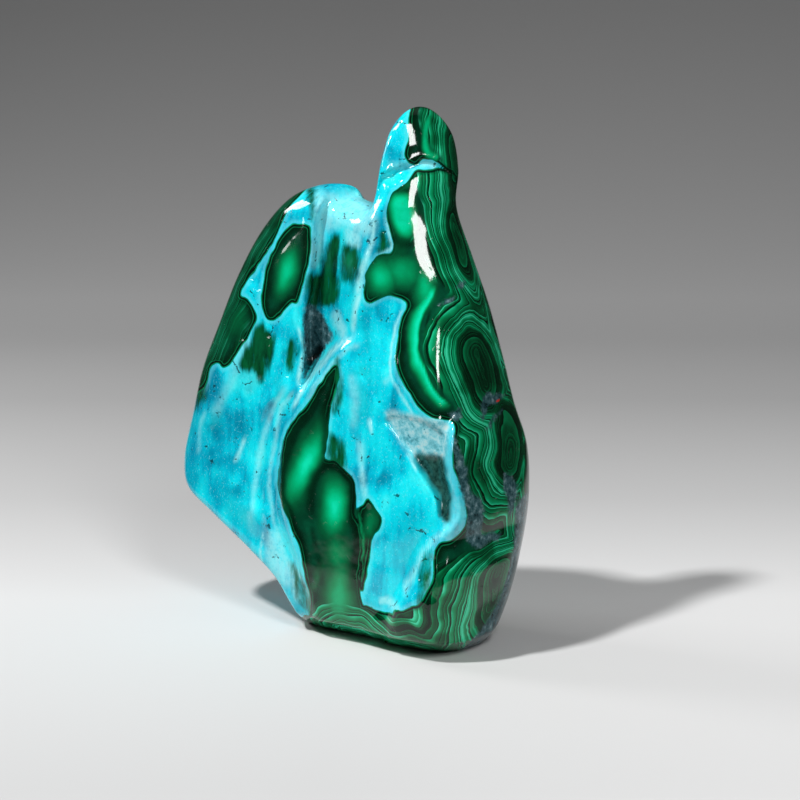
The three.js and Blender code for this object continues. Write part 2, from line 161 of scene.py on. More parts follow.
stone = dict(
    # outline in x and z, anticlockwise from the front: x, z, width of the rounded edge, its squareness
    outline=[
        (30, -6.5, 7, 2.6), (36, -1, 6.5, 2.5), (40, 8.5, 6, 2.7), (43.5, 21, 6, 2.8),
        (45, 33.5, 6, 2.8), (44.5, 44, 6, 2.8), (41.5, 53, 6, 2.8), (39.5, 62.5, 6, 2.6),
        (36.5, 74.5, 6, 2.5), (33, 85.5, 6, 2.3), (30.5, 95.5, 7, 2.1), (31.5, 103.5, 8, 2),
        (29.5, 112, 8, 2), (23.5, 117, 8, 2), (18, 113, 8, 2), (15, 105.5, 8, 2),
        (14, 98, 6, 2.1), (13, 95.5, 5, 2.2), (9, 96, 5, 2.2), (6, 97, 5, 2),
        (3.5, 99.5, 6, 2), (-3, 99.5, 7, 2), (-11, 96.5, 8, 2), (-18.5, 89.5, 9, 2),
        (-25.5, 79, 10, 2), (-31.5, 67, 11, 2), (-36.5, 56.5, 12, 2), (-39.5, 46, 12, 2),
        (-41.5, 35, 8, 2), (-38.5, 27, 5, 2.1), (-29.5, 21, 5, 2.1), (-18, 14, 6, 2.2),
        (-11, 8, 8, 2.3), (-7, 0, 7, 2.4), (-3, -6, 7, 2.6), (14, -6.5, 7, 2.6),
    ],
    halfDepth=[  # half thickness against height
        (-6, 9), (-1, 10.5), (3, 13), (9, 15.5), (20, 16), (32, 16.5), (52, 15), (74, 12.5),
        (85, 11), (97, 9), (105, 9), (117, 9),
    ],
    sideDepth=[(-43, 0.55), (-20, 0.72), (10, 0.92), (30, 1), (46, 1)],  # and how it thins to the wing
    midDepth=[(-6, 2.6), (0, 2), (9, 0.4), (20, 0), (120, 0)],  # the foot sits back under the face
    hub=(12, 53), neckCentre=(24, 117), neckReach=26, neckBend=(20, 87), footCorner=(-7, 0),
    displayTurn=35,  # degrees from -Y towards +X: the way the display side is carved
    outlineSteps=60,  # points in each span of the outline, before they are evened out
    cells=150,  # grid cells across the face
    edgeRows=32,  # rows round each rounded edge
)


def slab(s):
    # face sheet of square rings round the hub, rows over the rounded edge to the rim, the same behind;
    # y = half thickness * (1 - (1 - q)^p)^(1/p), with q the distance from the rim over the edge width
    n, rows = s["cells"], s["edgeRows"]
    rays = 4 * n
    loop = evenCurve(closedCurve(s["outline"], s["outlineSteps"]), rays)
    corner = np.hypot(loop[:, 0] - s["footCorner"][0], loop[:, 1] - s["footCorner"][1])
    loop = np.roll(loop, -corner.argmin(), 0)
    target, wide, square = loop[:, :2], loop[:, 2], loop[:, 3]
    hub = np.array(s["hub"], float)
    reach = np.hypot(*(target - hub).T)
    pull = bell(np.hypot(*(target - s["neckCentre"]).T), s["neckReach"])[:, None]
    control = (hub + target) / 2 * (1 - pull) + np.array(s["neckBend"]) * pull

    def onRay(ray, share):  # quadratic Bezier from the hub to the outline
        share = share[:, None]
        return (1 - share)**2 * hub + 2 * share * (1 - share) * control[ray] + share**2 * target[ray]

    across, up = np.meshgrid(np.linspace(-1, 1, n + 1), np.linspace(-1, 1, n + 1))
    across, up = across.ravel(), up.ravel()
    ring = np.maximum(abs(across), abs(up))
    over = np.where(ring == 0, 1, ring)
    turn = 0.75 + (1 - up / over) / 8
    turn = np.where(up == ring, 0.5 + (1 - across / over) / 8, turn)
    turn = np.where(across == ring, 0.25 + (up / over + 1) / 8, turn)
    turn = np.where(up == -ring, (across / over + 1) / 8, turn)
    ray = np.round(turn * rays).astype(int) % rays
    sheet = onRay(ray, ring * (1 - wide[ray] / reach[ray]))

    rise = np.sin(np.linspace(math.pi / 2, 0, rows + 1)[1:])[:, None]
    share = 1 - (1 - (1 - rise**square)**(1 / square)) * wide / reach
    edge = onRay(np.tile(np.arange(rays), rows), share.ravel()).reshape(rows, rays, 2)
    flat = np.vstack([sheet, edge.reshape(-1, 2), edge[:-1][::-1].reshape(-1, 2), sheet])
    front = len(sheet) + rows * rays
    side = np.where(np.arange(len(flat)) < front, -1, 1)

    corners = np.arange((n + 1)**2).reshape(n + 1, n + 1)
    cells = np.stack([corners[:-1, :-1], corners[:-1, 1:], corners[1:, 1:], corners[1:, :-1]], -1)
    border = np.flatnonzero(ring == 1)
    border = border[np.argsort(ray[border])]
    behind = len(flat) - len(sheet)
    middle = len(sheet) + np.arange((2 * rows - 1) * rays).reshape(-1, rays)
    rings = np.vstack([border[None], middle, border[None] + behind])
    walls = np.stack([rings[:-1], rings[1:], np.roll(rings[1:], -1, 1), np.roll(rings[:-1], -1, 1)], -1)
    cells = cells.reshape(-1, 4)
    faces = np.vstack([cells, walls.reshape(-1, 4), cells[:, ::-1] + behind])

    x, z = flat.T
    distance, _, place = nearest(x, z, loop, True)
    distance[front - rays:front] = 0
    lap = np.arange(rays + 1)
    q = np.minimum(distance / np.interp(place, lap, np.append(wide, wide[0])), 1)
    p = np.interp(place, lap, np.append(square, square[0]))
    half = profile(s["halfDepth"], z) * profile(s["sideDepth"], x)
    y = side * half * (1 - (1 - q)**p)**(1 / p) + profile(s["midDepth"], z)
    return np.stack([x, y, z], 1), faces


def outwardNormals(points, faces):
    # sum of the cross products of the diagonals of the faces round each vertex
    a, b, c, d = (points[corner] for corner in faces.T)
    cross = np.cross(c - a, d - b)
    total = np.zeros_like(points)
    for corner in faces.T:
        for axis in range(3):
            total[:, axis] += np.bincount(corner, cross[:, axis], len(points))
    return total / np.linalg.norm(total, axis=1, keepdims=True)


# u runs across the display side, z up
carving = dict(
    hollowEdge=[  # sharp left edge of the hollow against height
        (40, -8), (55, -7.8), (60, -7), (65, -7.4), (71, -7), (77, -6), (84, -5), (92, -4.5), (98, -2.5),
        (103, -1),
    ],
    hollowFloor=[
        (40, -6), (56, -5.5), (61, -4.5), (68, -3), (76, -1.5), (84, 0), (92, 1.5), (98, 3), (103, 4),
    ],
    hollowCrest=[
        (40, 0), (58, 2), (64, 4.5), (70, 6.5), (77, 7.5), (84, 8.5), (92, 10), (98, 12), (103, 13),
    ],
    hollowDepth=[
        (40, 0), (50, 2), (56, 6), (61, 8.5), (68, 6.5), (76, 5.2), (84, 4.4), (92, 3.4), (98, 2), (103, 1),
    ],
    hollowWall=2.2,
    lobeRim=[
        (9, 69.5), (5, 67.5), (1.5, 66), (-2, 62), (-5, 58.5), (-8, 53.5), (-10.5, 47.5), (-12, 41.5),
        (-12.5, 35), (-12.5, 28.5), (-11, 23), (-8.5, 17), (-6.5, 11), (-4.5, 4), (-3.5, -4),
    ],
    lobeSwell=[
        (0, 0), (0.12, 0.8), (0.25, 2.4), (0.45, 3.4), (0.7, 3.1), (0.85, 1.7), (0.92, 1.3), (1, 1.2),
    ],
    lobeEdge=(-0.8, 1.6), lobeReach=11,
    pocket=[
        (13.5, 52), (17.5, 52), (21, 51), (24, 49), (24.5, 45), (24, 41), (25, 37), (24.5, 32), (23, 31.5),
        (22.5, 35), (20, 39), (17, 43), (14, 46.5), (11.5, 50.5),
    ],
    pocketEdge=(-0.5, 1), pocketDepth=[(30, 2.2), (36, 3.4), (43, 3.2), (52, 0.6)],
    bevel=[
        (26, 51.5), (25, 48), (25, 44), (25.5, 39.5), (26.5, 35.5), (26.5, 31.5), (23.5, 28.5), (20.5, 25.5),
        (18, 21.5), (16.5, 16), (13.5, 11.5), (12.5, 6),
    ],
    bevelSpan=((2, 10), (50, 54)),  # heights over which it comes in and goes out
    bevelRise=(1.5, -0.8, 0.8, 7),  # step up to the block: height, where it starts and ends, reach
    bevelDip=(0.7, -0.5, 1.5, 4),  # the dip before it, the same way
    crease=[
        (8.5, 94), (10, 97.5), (11, 101), (13.5, 102.5), (17, 104), (20, 105), (23.5, 103.5), (26.5, 100.5),
        (28.5, 96),
    ],
    creaseCut=(1.4, 1, 0.25),  # depth, half width, share of its length over which it deepens
    creaseRoll=(0.4, 2, 4.5),  # the roll above it: height, width of its flank, reach
    ridge=[  # front edge of the pillar
        (50, 15.8), (60, 17), (70, 18.2), (80, 19.1), (86, 19.1), (92, 18.5), (97, 19.6), (102, 20.2),
        (107, 19.8), (112, 20.5),
    ],
    ridgeCut=[
        (58, 0), (63, 0.5), (67, 1.5), (72, 2.6), (76, 3.3), (80, 3.8), (85, 3.7), (92, 3), (98, 2.5),
        (103, 2.2), (112, 1.8), (118, 0.5),
    ],
    ridgeWidth=7,
    # how far the neck and knob sit back, and where across the face that comes in
    neckLean=[(84, 0), (92, 0.7), (97, 1.4), (103.5, 4.3), (107, 5.6), (110, 6.4), (113.5, 6.1), (117, 5.4)],
    neckSide=(9, 14),
    blockSwell=[(4, 2.6), (11, 2.6), (18, 2.6), (21, 2.1), (24, 0.9), (27, 0)],  # the end block stands proud
    blockStart=(-1.1, 9, 3, 12),  # where it begins beside the bevel, how much sooner at the foot, heights
    blockEnd=(1.5, 4, 14, 20),  # where it is full, how much further along higher up, heights
    endLean=[(4, 1.8), (11, 1.8), (21, 0)],  # its end face is ground upright
    endSide=(22, 32),
    # holds the face upright at the foot
    footFill=[(4, 5.9), (6.5, 4.9), (9, 4.1), (11, 3.8), (14, 3.4), (20, 2.6), (28, 1.5), (40, 0)],
    footChamfer=(4.5, 5.5),  # how high and how deep the ground edge at the foot is
    folds=[  # route, height, half width
        ([(-7.5, 56), (-10.5, 53.5), (-12, 49), (-14, 43), (-15, 36), (-15.5, 28.5), (-14.5, 21.5),
          (-13, 15)], 0.9, 1),
        ([(-8.5, 57), (-12.5, 54), (-16, 49), (-18.5, 39.5), (-19, 29), (-17.5, 20)], 0.7, 1.2),
        ([(-13.5, 66), (-16, 60), (-19.5, 53), (-22, 45), (-23, 36)], 0.6, 1.6),
        ([(-19.5, 64.5), (-23.5, 57.5), (-27, 50), (-29.5, 42)], 0.6, 1.6),
        ([(-12, 52), (-17, 44), (-17, 34), (-16.5, 26)], -0.9, 1.8),
        ([(-17, 58), (-20.5, 48), (-21, 36), (-20, 26)], -0.8, 2.2),
        ([(-7.5, 94), (-13, 87.5), (-17, 80.5), (-18.5, 76)], -0.6, 1.6),
        ([(9.5, 97), (8, 89), (7, 83), (5.5, 77), (5, 69)], 0.9, 1.6),
        ([(14.5, 74), (14.5, 66), (15, 60), (17.5, 55.5), (21, 52.5), (25.5, 51)], 0.35, 0.8),
        ([(8.5, 51), (8.5, 44), (8, 37), (8, 31)], 0.4, 0.9),
        ([(6, 62), (7, 54), (6, 46), (6.5, 38)], -0.7, 2.2), ([(11, 62), (12.5, 56), (12, 52)], 0.3, 1.5),
        ([(21.5, 24), (21, 19), (20.5, 14)], -0.7, 1.5), ([(-4.5, 14), (-6.5, 9), (-7.5, 3)], -0.8, 1.2),
    ],
    backSwells=[  # centre in x and z, reach across and up, lean, height
        ((3, 66), (8, 27), 0.25, -2), ((-22, 46), (10, 16), -0.3, 1.2), ((28, 34), (9, 22), 0.1, 1),
        ((8, 22), (14, 9), 0, -1.1),
    ],
    foldTaper=0.12,  # share of a fold's length at each end
    curveSteps=8,  # points in each span of these lines
    facingFade=(0.05, 0.5),  # carving comes in as the surface turns from edge on to facing
)


def displayRelief(u, z, c):
    # hollow, lobe, pocket, bevelled step, crease and folds, each a smooth step or bell of its distance
    def at(name):
        return profile(c[name], z)

    def gapTo(route):
        return lineGap(u, z, openCurve(route, c["curveSteps"]))

    rim, walked = gapTo(c["lobeRim"])
    lobe = step(rim, *c["lobeEdge"])
    edge = at("hollowEdge")
    wall = step(u, edge, edge + c["hollowWall"])
    rise = 1 - step(u, at("hollowFloor"), at("hollowCrest"))
    height = -at("hollowDepth") * wall * rise * (1 - lobe)
    height += profile(c["lobeSwell"], walked) * lobe * fall(rim, c["lobeReach"])
    inside = depthInside(u, z, closedCurve(c["pocket"], c["curveSteps"]))
    height -= at("pocketDepth") * step(inside, *c["pocketEdge"])

    bevel = gapTo(c["bevel"])[0]
    comesIn, goesOut = c["bevelSpan"]
    beside = step(z, *comesIn) * (1 - step(z, *goesOut))
    high, start, end, reach = c["bevelRise"]
    height += high * beside * step(bevel, start, end) * fall(bevel, reach)
    deep, start, end, reach = c["bevelDip"]
    height -= deep * beside * step(-bevel, start, end) * fall(-bevel, reach)

    crease, walked = gapTo(c["crease"])
    deep, wide, taper = c["creaseCut"]
    height -= deep * bell(crease, wide) * step(walked, 0, taper)
    high, flank, reach = c["creaseRoll"]
    height += high * step(-crease, 0, flank) * fall(-crease, reach)
    height -= at("ridgeCut") * bell(u - at("ridge"), c["ridgeWidth"])

    start, sooner, low, top = c["blockStart"]
    start = start - sooner * (1 - step(z, low, top))
    end, further, low, top = c["blockEnd"]
    height += at("blockSwell") * step(bevel, start, end + further * step(z, low, top))
    height += at("endLean") * step(u, *c["endSide"])
    tall, deep = c["footChamfer"]
    height += at("footFill") - deep * np.clip(1 - z / tall, 0, 1)
    taper = c["foldTaper"]
    for route, high, wide in c["folds"]:
        gap, walked = gapTo(route)
        height += high * bell(gap, wide) * step(walked, 0, taper) * (1 - step(walked, 1 - taper, 1))
    return height


def backRelief(x, z, c):
    # sum of elliptical bells, each leaning across as it goes up
    height = np.zeros(len(x))
    for (cx, cz), (wide, tall), lean, high in c["backSwells"]:
        height += high * np.exp(-((x - cx - lean * (z - cz)) / wide)**2 - ((z - cz) / tall)**2)
    return height


base, faces = slab(stone)
normals = outwardNormals(base, faces)
turn = math.radians(stone["displayTurn"])
toward = np.array([math.sin(turn), -math.cos(turn), 0])
u = base @ np.array([math.cos(turn), math.sin(turn), 0])
x = base[:, 0]
z = base[:, 2]
facing = normals @ toward
relief = displayRelief(u, z, carving) * step(facing, *carving["facingFade"])
lean = profile(carving["neckLean"], z) * step(u, *carving["neckSide"])  # set back as a whole
shape = base + (relief - lean)[:, None] * toward
shape[:, 1] += backRelief(x, z, carving) * step(normals[:, 1], *carving["facingFade"])
shape[:, 2] = np.maximum(shape[:, 2], 0)  # sawn foot
print("stone shape:", len(shape), "vertices,", len(faces), "faces")


pattern = dict(
    # edges of the malachite on the display side, in u and z
    malachite=[
        # pillar, block and end face
        [(18, 103.9), (16, 101.2), (13.9, 99.3), (12.6, 96.5), (12, 93.3), (12.2, 90.2), (13, 87.7),
         (12.3, 86), (10.1, 85.5), (8.3, 83.3), (7.2, 80.5), (6.6, 77.7), (7.1, 75.8), (8.4, 75.2),
         (10, 76.3), (12, 77.3), (14, 77.2), (15.8, 75.9), (16.1, 74.3), (15.1, 72.2), (14.4, 69.8),
         (14, 66), (14, 62.8), (15, 59.5), (16.8, 56.5), (19, 54), (21.3, 52.4), (24.5, 51.4),
         (26.3, 50.9), (26.4, 48), (26, 44), (26.6, 40), (28.4, 36.5), (28.7, 33), (28.2, 30), (26.4, 28),
         (23.2, 26.2), (22, 23.5), (21.6, 19.5), (20.5, 16.5), (18.5, 13.6), (15.5, 11.6), (13, 9),
         (14, -8), (60, -8), (60, 60), (50, 98), (30, 100), (27.5, 102), (25.5, 103.6), (23.6, 103.8),
         (22, 103.9), (20.5, 104)],
        # foot
        [(-8, -8), (-7.5, 3), (-4.5, 5), (-1, 8), (3, 9.5), (7, 10.4), (9.5, 9.4), (12.5, 9.6), (16, 11),
         (20, 12), (44, 12), (50, -8)],
        # knob
        [(17.6, 117), (16.8, 114.5), (16.5, 110.5), (15.7, 107), (17.2, 105.3), (18.6, 105.1),
         (19.6, 106.2), (21.2, 106), (23, 104.8), (25.5, 103), (28, 100.2), (31, 98.6), (60, 99),
         (60, 125), (22, 124)],
        # lobe, with its two eyes
        [(0.8, 61.5), (1.8, 59), (1, 55.5), (-0.4, 51.7), (-0.8, 47.2), (-1.5, 42.8), (-1.7, 40.5),
         (0.6, 40.3), (2.8, 39.2), (4.4, 37), (5, 33.5), (5.2, 29.8), (6.5, 27.6), (7, 24.3), (6.6, 19.5),
         (6.2, 15), (6.5, 11), (6.8, 5), (-4.5, 4), (-5.4, 9), (-6.6, 15), (-7.6, 20), (-9.2, 24),
         (-11, 28), (-12.2, 32), (-12.4, 37), (-11.6, 42), (-9.8, 46.6), (-7.2, 50.5), (-4.6, 54),
         (-1.8, 58.5)],
        # eye in the wing
        [(-7.8, 91.3), (-5.4, 91), (-4.9, 88), (-5.1, 84), (-5.9, 80), (-7, 76.5), (-7.9, 73.8),
         (-9.4, 73.6), (-10.6, 72.3), (-11.8, 71), (-13.4, 69.2), (-14.9, 69.3), (-16.1, 71), (-16.6, 74),
         (-16, 77.8), (-15.1, 81.3), (-13.4, 84.8), (-11.6, 88.3), (-9.8, 90.6)],
        # top edge of the wing
        [(-2, 104), (-5, 99.5), (-9.3, 95), (-11.8, 90.8), (-13.4, 86.8), (-15.3, 83.5), (-17.5, 81),
         (-19.6, 77.8), (-21.2, 74.6), (-20, 73.9), (-18.4, 72.6), (-17.4, 70.5), (-18, 68), (-20, 64.6),
         (-22.2, 60.5), (-23.8, 58.2), (-25.6, 57), (-27, 58), (-28.5, 56.8), (-30, 53.5), (-31.5, 51),
         (-36, 48), (-50, 50), (-50, 80), (-30, 104)],
        # fibrous wedge beside the lower eye
        [(5.2, 30.6), (6.4, 32), (7.7, 33.6), (9.4, 31.6), (10.4, 29.6), (10, 27), (8.8, 24.6), (8, 20),
         (7.4, 14), (6, 14), (6, 24)],
    ],
    # the same on the back, in x and z
    malachiteBack=[
        # pillar and block
        [(15, 100), (17, 94), (22, 88), (24, 81), (20, 75), (16, 70), (17, 63), (23, 58), (25, 51),
         (20, 45), (15, 38), (14, 31), (18, 25), (22, 18), (19, 11), (14, 8), (10, -8), (70, -8), (70, 60),
         (60, 100), (40, 110), (24, 104)],
        [(-14, -8), (-13, 5), (-6, 9), (1, 7), (8, 10), (14, 9), (18, -8)],  # foot
        [(20, 107), (24, 106), (28, 107.5), (50, 106), (50, 125), (18, 125), (17.5, 113)],  # knob
        # long eye down the middle
        [(-2, 90), (3, 88), (6, 80), (5, 70), (2, 62), (-1, 53), (-6, 47), (-10, 50), (-10, 58), (-7, 68),
         (-6, 80)],
        [(-24, 49), (-19, 47), (-16, 40), (-19, 33), (-25, 31), (-30, 35), (-30, 43)],  # eye in the wing
        [(0, 36), (5, 35), (8, 29), (5, 23), (-1, 22), (-4, 27), (-3, 33)],  # small eye over the foot
        # top edge of the wing
        [(0, 104), (-4, 97), (-9, 94), (-14, 88), (-17, 81), (-22, 76), (-25, 68), (-30, 62), (-33, 54),
         (-40, 50), (-60, 52), (-50, 90), (-20, 106)],
    ],
    # bright hearts of the eyes: centre, half width, half height, tilt in degrees, strength
    hearts=[
        (0.3, 30.6, 2.7, 5.8, -2, 1), (-6.1, 38.8, 2.4, 8.6, -24, 1.02), (1.2, 20, 2.6, 5, 0, 0.55),
        (-10.5, 80.4, 2.1, 4.8, -20, 0.9), (10.6, 81, 2.8, 3.4, -25, 0.88), (15, 82.4, 4.6, 3, 0, 0.7),
        (19.8, 79, 2.4, 4, 0, 0.8), (-6.8, 38, 3.8, 10, -20, 0.55), (14.6, 89, 2.5, 8, 0, 0.3),
        (0.4, 30, 4.4, 10, 0, 0.3), (16.5, 100.8, 2, 1.2, 30, 0.4), (1.4, 10.5, 3.2, 7.5, 0, 0.75),
        (-3.4, 15, 1.2, 5, -16, 0.4), (-22, 68.5, 2, 4.5, -28, 0.36), (-17.3, 63.5, 2.4, 4.5, -8, 0.32),
        (3.6, 83.4, 1.9, 3, 0, 0.46), (-9.6, 62.3, 0.9, 2.5, -4, 0.25), (1.6, 57, 0.6, 5, 4, 0.45),
        (0.6, 43, 1.3, 2.2, 0, 0.36), (8.3, 28.4, 1.5, 4, -8, 0.5), (14.8, 110.2, 1, 3, 0, 0.32),
    ],
    heartPatches=[  # hearts with an edge of their own: outline, softness, strength
        ([(13, 97), (14.5, 98.6), (17, 98), (18.3, 94), (17.6, 90.8), (15.2, 89.4), (13.5, 91.5),
          (12.9, 94.5)], 3, 0.95),
    ],
    heartStrokes=[  # bright bands: route, half width, strength
        ([(22.8, 80), (20.9, 76.6), (19.2, 73), (18.4, 68.7), (18.7, 64), (20.4, 60), (22.8, 57),
          (26, 54.4)], (0.6, 1.8), 1),
        ([(5.3, 30.6), (6.3, 27.8), (6.9, 24.3), (6.5, 19)], 0.28, 0.6),
        ([(20.7, 116), (20.4, 111), (20.6, 108), (21.8, 106.6), (23.6, 105.7)], 1.1, 0.8),
        ([(16.4, 88.8), (17.4, 89.6), (18, 87.6), (17.2, 86.6)], 0.3, 0.7),
    ],
    shades=[  # dark rings and seams inside the malachite, a painted shade line along the crease, and painted shade in the mouth of the hollow: route, half width, strength
        ([(-4.4, 26), (-4.5, 32), (-3, 37.2), (0.2, 39), (3, 37.2), (4.3, 33), (4.7, 27)], (1.6, 0.8), 0.9),
        ([(-1.6, 56), (-3.6, 51.5), (-6.8, 47.5), (-9.6, 42), (-11.1, 36.5), (-10.8, 31), (-8.6, 26.5),
          (-6.2, 20)], 0.8, 0.8),
        ([(4.4, 30), (5, 24), (4.6, 18), (4.8, 12)], 0.8, 0.6),
        ([(-4.6, 26), (-3.4, 20), (-2.6, 12)], 0.9, 0.6),
        ([(-0.6, 55), (-1.2, 50), (-2, 44), (-2.2, 41)], 0.8, 0.7),
        ([(12.6, 89.4), (15, 88), (18.4, 88.4)], 1.1, 0.7),
        ([(21.4, 75), (20.7, 70), (20.8, 64.5), (22.6, 60.6), (26, 57.6)], (0.6, 0.4), 0.85),
        ([(20.4, 103), (19.2, 97), (19.8, 91), (21.4, 85)], 0.9, 0.5),
        ([(19.2, 116), (19, 111), (19, 107)], 0.7, 0.7),
        ([(-6.3, 58.4), (-5.2, 60.4), (-3.8, 62.4), (-2.6, 63.8)], 1.3, 1),  # painted shade: near-black deep in the mouth of the hollow, under the lobe's rim
        # painted shade along the crease under the knob
        ([(22.6, 104.5), (24.6, 103.6), (26.6, 101.6), (28.4, 99), (30, 97)], 0.5, 1),
    ],
    heartsBack=[
        (0, 76, 2.6, 8, 12, 0.95), (-6.5, 55, 2, 4.5, 14, 0.7), (-23.5, 40, 3, 4.6, -20, 0.92),
        (2, 29.4, 2.4, 3.4, 25, 0.85), (27, 82, 2, 5, 8, 0.6), (22, 68, 2.6, 3.4, 0, 0.75),
        (20, 34, 2.6, 4.5, 0, 0.8), (-27, 72, 2, 5, -35, 0.4),
    ],
    # regions that are banded rather than smooth, in u and z: outline, softness, strength
    banded=[
        ([(20.5, 104), (19.6, 98), (20.6, 88), (22, 81), (25.5, 78), (23.6, 75), (20.6, 70), (19.9, 66),
          (20.8, 61.5), (23.4, 58.2), (26.4, 55.6), (27.6, 50), (27.4, 44), (29.5, 38), (31, 33), (32, 26),
          (28, 23.4), (24.6, 23), (22, 20), (20, 14), (14, 10.5), (10, 8), (6, 9.4), (0, 9), (-5, 6),
          (-8, -8), (60, -8), (60, 104)], 1.4, 1),
        ([(21.6, 117), (21.8, 109), (24, 106), (28, 101), (60, 100), (60, 122)], 1.2, 0.9),
        ([(-2, 104), (-6, 99), (-11, 93.5), (-13, 88), (-16, 83), (-19, 80), (-21.5, 76), (-19.5, 72),
          (-20, 66), (-24, 58), (-30, 52), (-50, 50), (-50, 80), (-30, 104)], 2.5, 0.22),
    ],
    bandedBack=[
        ([(19, 100), (25, 91), (30, 80), (27, 72), (28, 62), (31, 52), (25, 43), (24, 33), (26, 24),
          (28, 16), (22, 7), (14, -8), (70, -8), (70, 100), (40, 112)], 3, 1),
        ([(0, 106), (-10, 98), (-20, 86), (-30, 71), (-38, 55), (-60, 56), (-50, 90), (-20, 108)], 2.5, 0.7),
        ([(-14, -8), (-12, 3), (0, 4), (16, 6), (20, -8)], 2, 0.9),
    ],
    # centres the bands grew from: two ends of each core, stretch along x, y and z, head start
    cores=[
        ((41, 0.5, 57.5), (39, -1.4, 65), (1, 1.4, 1.25), 0),
        ((32.2, 2.4, 94), (33.4, 2.8, 86), (0.85, 0.85, 1.9), 0.6),
        ((44.6, 7, 51), (45, 3, 41), (1, 1.35, 1), 0),
        ((42.6, 1.6, 18.5), (42.6, 1.6, -8), (1, 1.5, 0.55), 0),
        ((31, -14, -5), (29, -14, -5), (1.15, 1, 1), 1), ((12, -13, -2), (14, -13, -2), (1.15, 1, 1), 0.4),
        ((22, -13, -5), (23, -13, -5), (1, 1, 1), 1.5), ((36, 12, 73), (37, 11, 70), (1, 1, 1.3), 2),
        ((-15, -3, 98), (-35, -2, 62), (1, 1, 1), 0), ((32, 5, 113), (31, 3, 103), (1, 1, 1), 0),
        ((32, 13, 84), (36, 13, 66), (1, 1, 1), 1), ((40, 13, 40), (41, 14, 30), (1.4, 1, 1), 0),
        ((28, 14, 46), (27, 14, 48), (1, 1, 1.2), 3), ((34, 14, 10), (33, 14, 8), (1.3, 1, 1), 1),
        ((22, 14, 22), (22, 14, 26), (1, 1, 1), 3.5), ((-30, 6, 66), (-20, 6, 84), (1, 1, 1), 1.5),
        ((0, 14, -3), (4, 14, -3), (1.3, 1, 1), 0),
    ],
    # dark malachite showing softly through thin chrysocolla: outline, softness, strength
    murk=[
        ([(-5.6, 80.5), (-3, 80.3), (-1.8, 84), (-1, 88), (1.2, 88.6), (1.7, 84), (1.3, 79), (1, 75),
          (-1.5, 73.4), (-5.8, 73)], 3.24, 1),
        ([(1.5, 86), (4.6, 86.8), (6.2, 84), (5, 79.6), (2, 79.6)], 3.96, 0.95),
        ([(-16.3, 68.6), (-14.7, 67), (-13.2, 65.7), (-13.5, 62), (-14.7, 58.8), (-16.3, 55.2),
          (-17.8, 57.2), (-20, 57.4), (-21.8, 58.4), (-20, 62.5), (-18.2, 66.8)], 3.24, 1),
        ([(-9, 66), (-8.2, 63), (-8.4, 60), (-9.6, 58.2), (-11, 60), (-11.2, 63.5), (-10.3, 66)], 3.6, 0.95),
        ([(-1.2, 45.6), (0.6, 46.2), (2.5, 45), (3, 42), (2.8, 39), (-1.5, 39.4)], 3.24, 0.9),
        ([(0, 62.5), (1.6, 62.2), (2.4, 58), (1.8, 53), (0.8, 50), (-0.5, 52)], 2.4, 0.8),
        ([(9.7, 86.4), (11.4, 86.2), (12.4, 88), (11.6, 90), (10.6, 91)], 1.8, 0.75),
        ([(12, 108), (13.5, 109), (15.4, 107.6), (15, 106), (12.5, 105.6)], 4.5, 0.3),
        ([(20.8, 24.6), (21.6, 22), (21.4, 17), (19.9, 14.4), (18.2, 13.4), (18.8, 17),
          (19.2, 21)], 3.24, 0.8),
        ([(-10, 16), (-8, 14.2), (-5.6, 10), (-4, 5.4), (-6, 5), (-8, 9)], 2.88, 0.85),
        ([(-33, 52), (-30.5, 55), (-30.4, 50), (-33, 46)], 3.6, 0.8),
        ([(-6, 99.5), (-3.8, 98), (-4.3, 93.5), (-5.6, 92)], 2.52, 0.7),
    ],
    murkBack=[
        ([(-6, 92), (2, 91), (9, 82), (8, 70), (4, 58), (-2, 50), (-8, 44), (-13, 50), (-12, 62),
          (-9, 76)], 4, 0.7),
        ([(10, 50), (15, 48), (14, 41), (9, 38), (6, 43)], 3.5, 0.8),
        ([(-15, 66), (-12, 72), (-15, 79), (-19, 74), (-20, 66)], 3, 0.85),
        ([(-32, 33), (-24, 28), (-16, 31), (-13, 40), (-17, 50), (-26, 52)], 3, 0.5),
    ],
    # grey and black matrix: outline on the display side
    matrix=[
        [(-6.4, 73.5), (-3.5, 72.6), (-1.4, 70), (-0.1, 66.6), (-1.2, 64.6), (-2.6, 62.2), (-4.4, 59.8),
          (-6.2, 57.2), (-7, 60), (-7, 68)],
        [(26.3, 49.4), (27.5, 47), (28.6, 42), (29.6, 38), (32, 35), (32.8, 31), (32.6, 28), (35, 25.8),
          (33, 24.4), (29.5, 25.4), (28.2, 28), (28.6, 32), (28.2, 35.5), (27, 38), (26.4, 42), (26.3, 46)],
        [(37.6, 39), (39.4, 37.6), (40.4, 34), (39.6, 30), (38.2, 29.2), (37.4, 33), (36.6, 36)],
        [(32.4, 55.6), (35, 56), (37.6, 54.8), (35.8, 53.6), (34, 53.2), (33, 50.8), (31.8, 51.4),
          (31.6, 53.6)],
        [(33.4, 49.2), (35.4, 51), (37, 52), (36, 50.4), (34.4, 48.8)],
        [(32.2, 26.6), (34, 27), (36.8, 26), (36.2, 24.6), (33.4, 24.8)],
        [(42, 33), (39.9, 27), (38.9, 21), (37.6, 15.4), (35.2, 10.2), (31.6, 5.6), (29.2, 1.8), (29, -4),
          (60, -4), (60, 30)],
        [(25.2, 53), (26.6, 54.2), (28, 53.4), (27.4, 52), (25.8, 51.8)],
        [(22.8, 75.2), (24.6, 76.4), (26.4, 77.2), (26.2, 75.8), (24.4, 75)],
        [(26.4, 79), (28, 80), (28.8, 79.2), (27.6, 78)],
    ],
    matrixBack=[
        [(9, 92), (12, 93), (13.5, 88), (12, 83), (9.5, 85)],
        [(30, 46), (33, 48), (36, 45), (35, 40), (31, 41)],
        [(-12, 30), (-8, 32), (-6, 28), (-9, 25), (-13, 26)],
    ],
